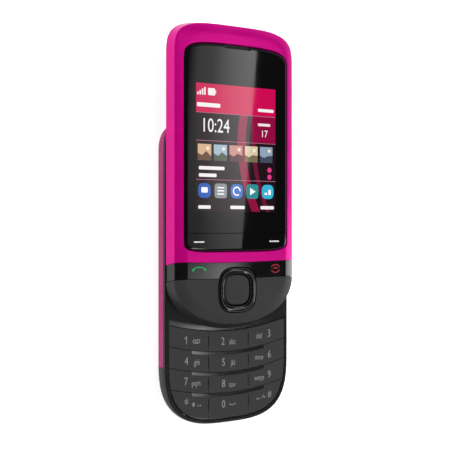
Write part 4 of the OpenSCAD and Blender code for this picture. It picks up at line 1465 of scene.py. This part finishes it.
@dataclass
class Keypad:
    """The twelve caps of the keypad with their legends, each riding on its own body."""

    floor: float = 9.8
    top: float = 11.05
    inset: float = 1.3
    slit: float = 0.1
    reach: float = 24.0
    past_foot: float = -95.0
    facet_width: float = 1.05
    facet_depth: float = 0.2
    facet_half: float = 14.0
    bar_length: float = 3.4
    bar_half: float = 0.17
    small: float = 1.95

    NAMES = ("1", "2", "3", "4", "5", "6", "7", "8", "9", "star", "0", "hash")

    def prints(self) -> dict[str, list[KeyPrint]]:
        """The digits, star, hash and letter groups, with the place of each."""
        s = self.small
        return {
            "1": [KeyPrint("1", -16.0, -37.4)],
            "2": [KeyPrint("2", -2.2, -38.6), KeyPrint("abc", 1.5, -38.9, s)],
            "3": [KeyPrint("def", 12.1, -37.7, s), KeyPrint("3", 16.2, -37.1)],
            "4": [KeyPrint("4", -16.0, -44.1), KeyPrint("ghi", -12.1, -44.7, s)],
            "5": [KeyPrint("5", -2.0, -45.5), KeyPrint("jkl", 1.7, -45.9, s)],
            "6": [KeyPrint("mno", 12.1, -44.8, s), KeyPrint("6", 16.3, -44.2)],
            "7": [KeyPrint("7", -16.2, -50.6), KeyPrint("pqrs", -12.4, -51.4, s)],
            "8": [KeyPrint("8", -2.0, -52.5), KeyPrint("tuv", 1.4, -53.0, s)],
            "9": [KeyPrint("wxyz", 12.2, -51.7, s), KeyPrint("9", 16.3, -51.0)],
            "star": [KeyPrint("*", -16.0, -57.9, 3.4)],
            "0": [KeyPrint("0", -2.0, -59.2)],
            "hash": [KeyPrint("#", 16.4, -57.6, 2.4)],
        }

    def mark(self, mark: Mark, x: float, y: float) -> Solid:
        """A plain printed mark.

        Args:
            mark: which one.
            x: its middle.
            y: its middle.

        Returns:
            The thin printed solid.
        """
        z0, z1 = self.top + INK_GAP, self.top + INK_TOP
        solid = Solid()
        if mark is Mark.LOOPS:
            for side in (-1, 1):
                solid.add(prism(line_strip(disc(x + side * 0.72, y, 0.55, 24), 0.24), z0, z1))
            solid.add(prism(round_box(x, y - 0.6, 1.5, 0.24, 0.1), z0, z1))
        elif mark is Mark.ARROW:
            solid.add(prism([(x - 0.7, y - 0.1), (x + 0.7, y - 0.1), (x, y + 0.75)], z0, z1))
            solid.add(prism(round_box(x, y - 0.4, 0.6, 0.7, 0.05), z0, z1))
        elif mark is Mark.DOTS:
            for side in (-1, 1):
                solid.add(prism(disc(x + side * 0.4, y, 0.24, 16), z0, z1))
        elif mark is Mark.SPACE:
            path = [(x - 1.0, y + 0.3), (x - 1.0, y - 0.3), (x + 1.0, y - 0.3),
                    (x + 1.0, y + 0.3)]
            solid.add(prism(line_strip(path, 0.24), z0, z1))
        else:
            path = [(x - 0.6, y - 0.4), (x, y + 0.5), (x + 0.6, y - 0.4)]
            solid.add(prism(line_strip(path, 0.26), z0, z1))
        return solid

    def cell(self, column: int, row: int) -> Solid:
        """The space of one key, with a small chamfer along its upper and lower edges.

        Args:
            column: -1, 0 or 1 from the left.
            row: 0 to 3 from the top.

        Returns:
            The cell as a solid.
        """
        split = SIZE.middle_key / 2
        left = -self.reach if column < 0 else (split if column else -split) + self.slit / 2
        right = self.reach if column > 0 else (-split if column else split) - self.slit / 2
        high = SIZE.pad_top - row * SIZE.row_pitch - SIZE.key_gap / 2
        low = self.past_foot if row == 3 else high - SIZE.row_pitch + SIZE.key_gap
        rings = []
        for z, step in ((self.floor - 1, 0.0), (self.top - 0.14, 0.0), (self.top - 0.05, 0.03),
                        (self.top + 0.01, 0.11), (self.top + 1, 0.11)):
            xs = [left + (right - left) * i / 20 for i in range(21)]
            lower = [(x, smile(low + step, SIZE.row_sag, x), z) for x in xs]
            upper = [(x, smile(high - step, SIZE.row_sag, x), z) for x in xs[::-1]]
            rings.append(lower + upper)
        return loft(rings)

    def key(self, index: int) -> None:
        """Makes one key cap with its facet and its half of the separating bars.

        Args:
            index: its place in NAMES.
        """
        name = self.NAMES[index]
        column, row = index % 3 - 1, index // 3
        levels = [(self.inset + extra, z) for extra, z in
                  ((0.0, self.floor), (0.0, self.top - 0.3), (0.04, self.top - 0.16),
                   (0.14, self.top - 0.05), (0.34, self.top))]
        steps = [(Cut.KEEP, self.cell(column, row))]
        high = SIZE.pad_top - row * SIZE.row_pitch - SIZE.key_gap / 2
        if row:
            steps.append((Cut.AWAY, facet_wedge(high, self.facet_width, self.facet_half,
                                                self.top, self.facet_depth)))
        middle = high - SIZE.row_pitch / 2 - (0.35 if row else 0.0)
        for side in (-1, 1):
            x = side * SIZE.middle_key / 2
            y = smile(middle, SIZE.row_sag, x)
            bar = round_box(x, y, 2 * self.bar_half, self.bar_length, 0.15)
            steps.append((Cut.AWAY, prism(bar, self.top - 0.45, self.top + 1)))
        piece = carve(to_object(f"cap_{name}", stack(LOWER, levels)), steps)
        dress(finish_mesh(piece), KEY_GREY, f"key_{name}", "key_grey", f"key_{name}")
        polish_facets(piece, self.top)

    def legend(self, name: str, prints: Sequence[KeyPrint]) -> None:
        """Makes the printed legend of one key.

        Args:
            name: the key's name.
            prints: what is printed on it.
        """
        solid = Solid()
        for ink in prints:
            squeeze = 0.78 if len(ink.text) == 1 else 0.72
            solid.add(lettering(ink.text, ink.x, ink.y, self.top + 0.001, ink.height, squeeze))
            if ink.text == "1":
                flag = [(ink.x - 0.75, ink.y + 0.62), (ink.x - 0.05, ink.y + 1.12)]
                solid.add(prism(line_strip(flag, 0.34), self.top + INK_GAP,
                                self.top + INK_TOP))
        extra = {"1": [(Mark.LOOPS, -12.3, -37.9)],
                 "star": [(Mark.ARROW, -13.4, -58.1), (Mark.DOTS, -11.2, -58.7)],
                 "0": [(Mark.SPACE, 1.5, -59.3)],
                 "hash": [(Mark.PEAK, 13.9, -58.2), (Mark.DOTS, 11.7, -58.7)]}
        for mark, x, y in extra.get(name, ()):
            solid.add(self.mark(mark, x, y))
        piece = finish_mesh(to_object(f"legend_{name}", solid))
        dress(piece, LEGEND_INK, f"key_{name}", "key_grey")

    def build(self) -> None:
        """Makes the caps and their legends."""
        prints = self.prints()
        for index, name in enumerate(self.NAMES):
            self.key(index)
            self.legend(name, prints[name])


# ---------------------------------------------------------------- inside and underneath

@dataclass
class RearHousing:
    """The black plate and wall that close the upper half from behind."""

    inset: float = 1.8
    plate: float = 0.7
    wall: float = 0.8
    wall_top: float = 14.0
    slot_y: float = 20.5
    screw_x: float = 11.5
    screw_y: Point = (6.0, 25.5)
    screw_hole: float = 0.75
    recess: tuple[float, ...] = (0.0, 47.0, 30.0, 19.0, 4.0)

    def build(self) -> None:
        """Makes the plate with a shallow moulded field, its wall, holes and ribbon slot."""
        floor = SIZE.upper_floor
        inner = self.inset + self.wall
        outer = [(self.inset + 0.2, floor), (self.inset, floor + 0.2), (self.inset, self.wall_top)]
        steps = [(Cut.AWAY, stack(UPPER, [(inner, floor + self.plate), (inner, 16)], 2)),
                 (Cut.AWAY, block(-SIZE.ribbon_half, self.slot_y - SIZE.ribbon_gap / 2, floor - 1,
                                  (2 * SIZE.ribbon_half, SIZE.ribbon_gap, 5)))]
        for x in (-self.screw_x, self.screw_x):
            for y in self.screw_y:
                steps.append((Cut.AWAY, prism(disc(x, y, self.screw_hole), floor - 1, 13)))
        recess = round_box(*self.recess)
        steps.append((Cut.AWAY, loft([at_height(drawn_in(recess, inset), floor + rise)
                                      for inset, rise in ((-0.3, -1), (-0.1, 0), (0.15, 0.2))])))
        piece = carve(to_object("rear_shell", stack(UPPER, outer, 2)), steps)
        dress(finish_mesh(piece), SATIN_BLACK, "slider", "satin_black", "rear_housing")


INNER_FINISHES: dict[str, Finish] = {
    "chassis": INNER_NYLON, "battery": CELL_WRAP, "battery_contacts": GOLD_FLASH,
    "main_board": BOARD_GREEN, "shield_cans": ROLLED_STEEL, "keypad_board": BOARD_GREEN,
    "keypad_domes": GOLD_FLASH, "keypad_mat": SILICONE, "rail_plate": ROLLED_STEEL,
    "loudspeaker": SATIN_BLACK, "vibration_motor": ROLLED_STEEL, "microphone": ROLLED_STEEL,
    "camera_module": SATIN_BLACK, "sim_reader": ROLLED_STEEL,
    "card_reader": ROLLED_STEEL, "usb_socket": ROLLED_STEEL, "audio_jack": SATIN_BLACK,
    "charger_jack": SATIN_BLACK, "antenna": ACETAL, "lower_screws": ROLLED_STEEL,
    "display_panel": GLOSS_BLACK, "display_frame": INNER_NYLON, "slider_plate": ROLLED_STEEL,
    "slide_shoes": ACETAL, "earpiece": ROLLED_STEEL, "upper_board": BOARD_GREEN,
    "upper_domes": GOLD_FLASH, "upper_screws": ROLLED_STEEL, "navi_membrane": SILICONE,
    "slide_springs": SPRING_WIRE, "flex_cable": POLYIMIDE,
}


def dress_inner_nodes() -> None:
    """Gives the carried-over nodes inside the phone the finishes of their real materials."""
    for name, finish in INNER_FINISHES.items():
        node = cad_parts[name]
        material = finish.material()
        if node.material_slots:
            for slot in node.material_slots:
                slot.material = material
        else:
            node.data.materials.append(material)
        LOG.info("%s is %s", name, finish.name)


# ---------------------------------------------------------------- the stage

@dataclass
class Studio:
    """Camera, floor, soft lights and surroundings; places in millimetres, angles in degrees."""

    aim: Place = (-4.286, -0.354, 15.6)
    view_angle: float = 32.217
    distance: float = 303.317
    lens: float = 75.143
    floor_lift: float = 0.77
    mirrored_share: float = 0.13
    fill: float = 0.28
    lamp_aim: Place = (0.0, 0.0, 10.0)
    floor_half: float = 3000.0
    floor_drop: float = 0.2
    card_height: float = 600.0
    card_edge: float = 386.3
    card_slant: float = 0.092
    card_width: float = 84.0
    card_levels: tuple[Point, ...] = ((0.0, 0.0), (0.145, 1.0), (0.36, 1.2), (0.68, 2.8),
                                      (0.9, 3.5), (1.0, 3.6))
    card_rows: tuple[Point, ...] = ((-700.0, 2.4), (-260.0, 2.4), (-120.0, 1.0),
                                    (-45.0, 1.0), (-32.0, 0.38), (0.0, 0.44),
                                    (90.0, 0.8), (190.0, 1.0), (420.0, 1.0))

    def camera(self) -> None:
        """Places the camera where the photograph was taken from, with the phone's top up."""
        angle = math.radians(self.view_angle)
        aim = Vector(self.aim)
        back = Vector((-math.sin(angle), 0.0, math.cos(angle)))
        data = bpy.data.cameras.new("studio_camera")
        data.lens = self.lens
        data.sensor_width = 36.0
        data.clip_start, data.clip_end = 0.01, 20.0
        camera = add_object("studio_camera", data)
        right = Vector((math.cos(angle), 0.0, math.sin(angle)))
        up = Vector((0.0, 1.0, 0.0))
        turn = Matrix((right, up, back)).transposed()
        camera.matrix_world = Matrix.Translation((aim + back * self.distance) * MM) @ turn.to_4x4()
        bpy.context.scene.camera = camera

    def panel(self, name: str, centre: Place, size: Point, power: float, glossy: bool) -> None:
        """Hangs one soft light that points at the phone.

        Args:
            name: its name.
            centre: where it hangs.
            size: its width and height.
            power: its power in watts.
            glossy: whether it shows in reflections.
        """
        data = bpy.data.lights.new(name, "AREA")
        data.shape = "RECTANGLE"
        data.size, data.size_y = size[0] * MM, size[1] * MM
        data.energy = power
        light = add_object(name, data)
        way = Vector(centre) - Vector(self.lamp_aim)
        light.location = Vector(centre) * MM
        light.rotation_mode = "QUATERNION"
        light.rotation_quaternion = way.to_track_quat("Z", "Y")
        light.visible_glossy = glossy
        light.visible_camera = False

    def reflection_card(self) -> None:
        """Hangs the long softbox that the flat glass mirrors, dim at one side and cut off sharply
        at the other, so that a slanting edge crosses the window."""
        points, levels, faces = [], [], []
        for y, strength in self.card_rows:
            edge = self.card_edge + self.card_slant * y
            for share, level in self.card_levels:
                x = edge - self.card_width * (1 - share)
                points.append((x * MM, y * MM, self.card_height * MM))
                levels.append(level * strength)
        across = len(self.card_levels)
        for row in range(len(self.card_rows) - 1):
            for i in range(across - 1):
                a = row * across + i
                faces.append((a, a + 1, a + across + 1, a + across))
        mesh = bpy.data.meshes.new("reflection_card")
        mesh.from_pydata(points, [], faces)
        layer = mesh.color_attributes.new("shine", "FLOAT_COLOR", "POINT")
        for i, level in enumerate(levels):
            layer.data[i].color = (level, level, level, 1.0)
        card = add_object("reflection_card", mesh)
        card.visible_camera = False
        card.visible_diffuse = False
        card.visible_shadow = False
        material = bpy.data.materials.new("Softbox_Cloth")
        tree = empty_tree(material)
        shine = add_node(tree, "VertexColor", {"layer_name": "shine"}).outputs["Color"]
        glow = add_node(tree, "Emission", None, {"Strength": shine})
        add_node(tree, "OutputMaterial", None, {"Surface": glow.outputs["Emission"]})
        mesh.materials.append(material)

    def floor(self) -> None:
        """Lays a pale floor that shows white to the camera but keeps the phone's soft shadow."""
        half = self.floor_half
        mesh = bpy.data.meshes.new("floor")
        corners = [(-half, -half, 0), (half, -half, 0), (half, half, 0), (-half, half, 0)]
        mesh.from_pydata([tuple(c * MM for c in p) for p in corners], [], [(0, 1, 2, 3)])
        floor = add_object("floor", mesh)
        floor.location.z = -self.floor_drop * MM
        material = bpy.data.materials.new("Painted_Board_White")
        tree = empty_tree(material)
        path = add_node(tree, "LightPath")
        part = add_node(tree, "Math", {"operation": "MULTIPLY"},
                        {0: mirrored(tree, path), 1: self.mirrored_share})
        seen = add_node(tree, "Math", {"operation": "MAXIMUM"}, {
            0: path.outputs["Is Camera Ray"], 1: part.outputs["Value"]})
        lift = add_node(tree, "Math", {"operation": "MULTIPLY"},
                        {0: seen.outputs["Value"], 1: self.floor_lift})
        paint = add_node(tree, "BsdfDiffuse", None, {"Color": (0.86, 0.86, 0.86, 1.0)})
        glow = add_node(tree, "Emission", None, {"Strength": lift.outputs["Value"]})
        both = add_node(tree, "AddShader", None, {0: paint.outputs["BSDF"],
                                                  1: glow.outputs["Emission"]})
        add_node(tree, "OutputMaterial", None, {"Surface": both.outputs["Shader"]})
        mesh.materials.append(material)

    def surroundings(self) -> None:
        """Sets a studio that is bright round the horizon and dark overhead, and white in view."""
        world = bpy.data.worlds.new("studio")
        bpy.context.scene.world = world
        tree = empty_tree(world)
        direction = add_node(tree, "TexCoord").outputs["Generated"]
        height = add_node(tree, "SeparateXYZ", None, {0: direction}).outputs["Z"]
        walls = add_node(tree, "MapRange", {"interpolation_type": "SMOOTHSTEP"}, {
            "Value": height, "From Min": 0.2, "From Max": 0.55, "To Min": 0.9,
            "To Max": 0.05}).outputs["Result"]
        path = add_node(tree, "LightPath")
        level = add_node(tree, "Mix", None, {
            "Factor": mirrored(tree, path), 2: self.fill, 3: walls}).outputs[0]
        strength = add_node(tree, "Mix", None, {
            "Factor": path.outputs["Is Camera Ray"], 2: level, 3: 1.0})
        back = add_node(tree, "Background", None, {"Color": (1.0, 1.0, 1.0, 1.0),
                                                   "Strength": strength.outputs[0]})
        add_node(tree, "OutputWorld", None, {"Surface": back.outputs["Background"]})

    def build(self) -> None:
        """Sets the stage up."""
        scene = bpy.context.scene
        scene.view_settings.view_transform = "Standard"
        self.camera()
        self.floor()
        self.surroundings()
        self.reflection_card()
        self.panel("key_light", (60, 330, 800), (520, 520), 8.0, glossy=False)
        self.panel("left_light", (-700, 40, 180), (420, 700), 2.2, glossy=False)
        self.panel("right_light", (760, -120, 300), (200, 500), 1.0, glossy=True)


def main() -> None:
    """Builds the stage and then the phone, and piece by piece."""
    logging.basicConfig(level=logging.INFO, format="%(name)s: %(message)s")
    Studio().build()
    for part in (UpperShell(), RingAndSelect(), Glazing(), Picture(), LowerShell(), Keypad(),
                 RearHousing()):
        part.build()
        LOG.info("%s is built", type(part).__name__)
    dress_inner_nodes()


if __name__ == "__main__":
    main()
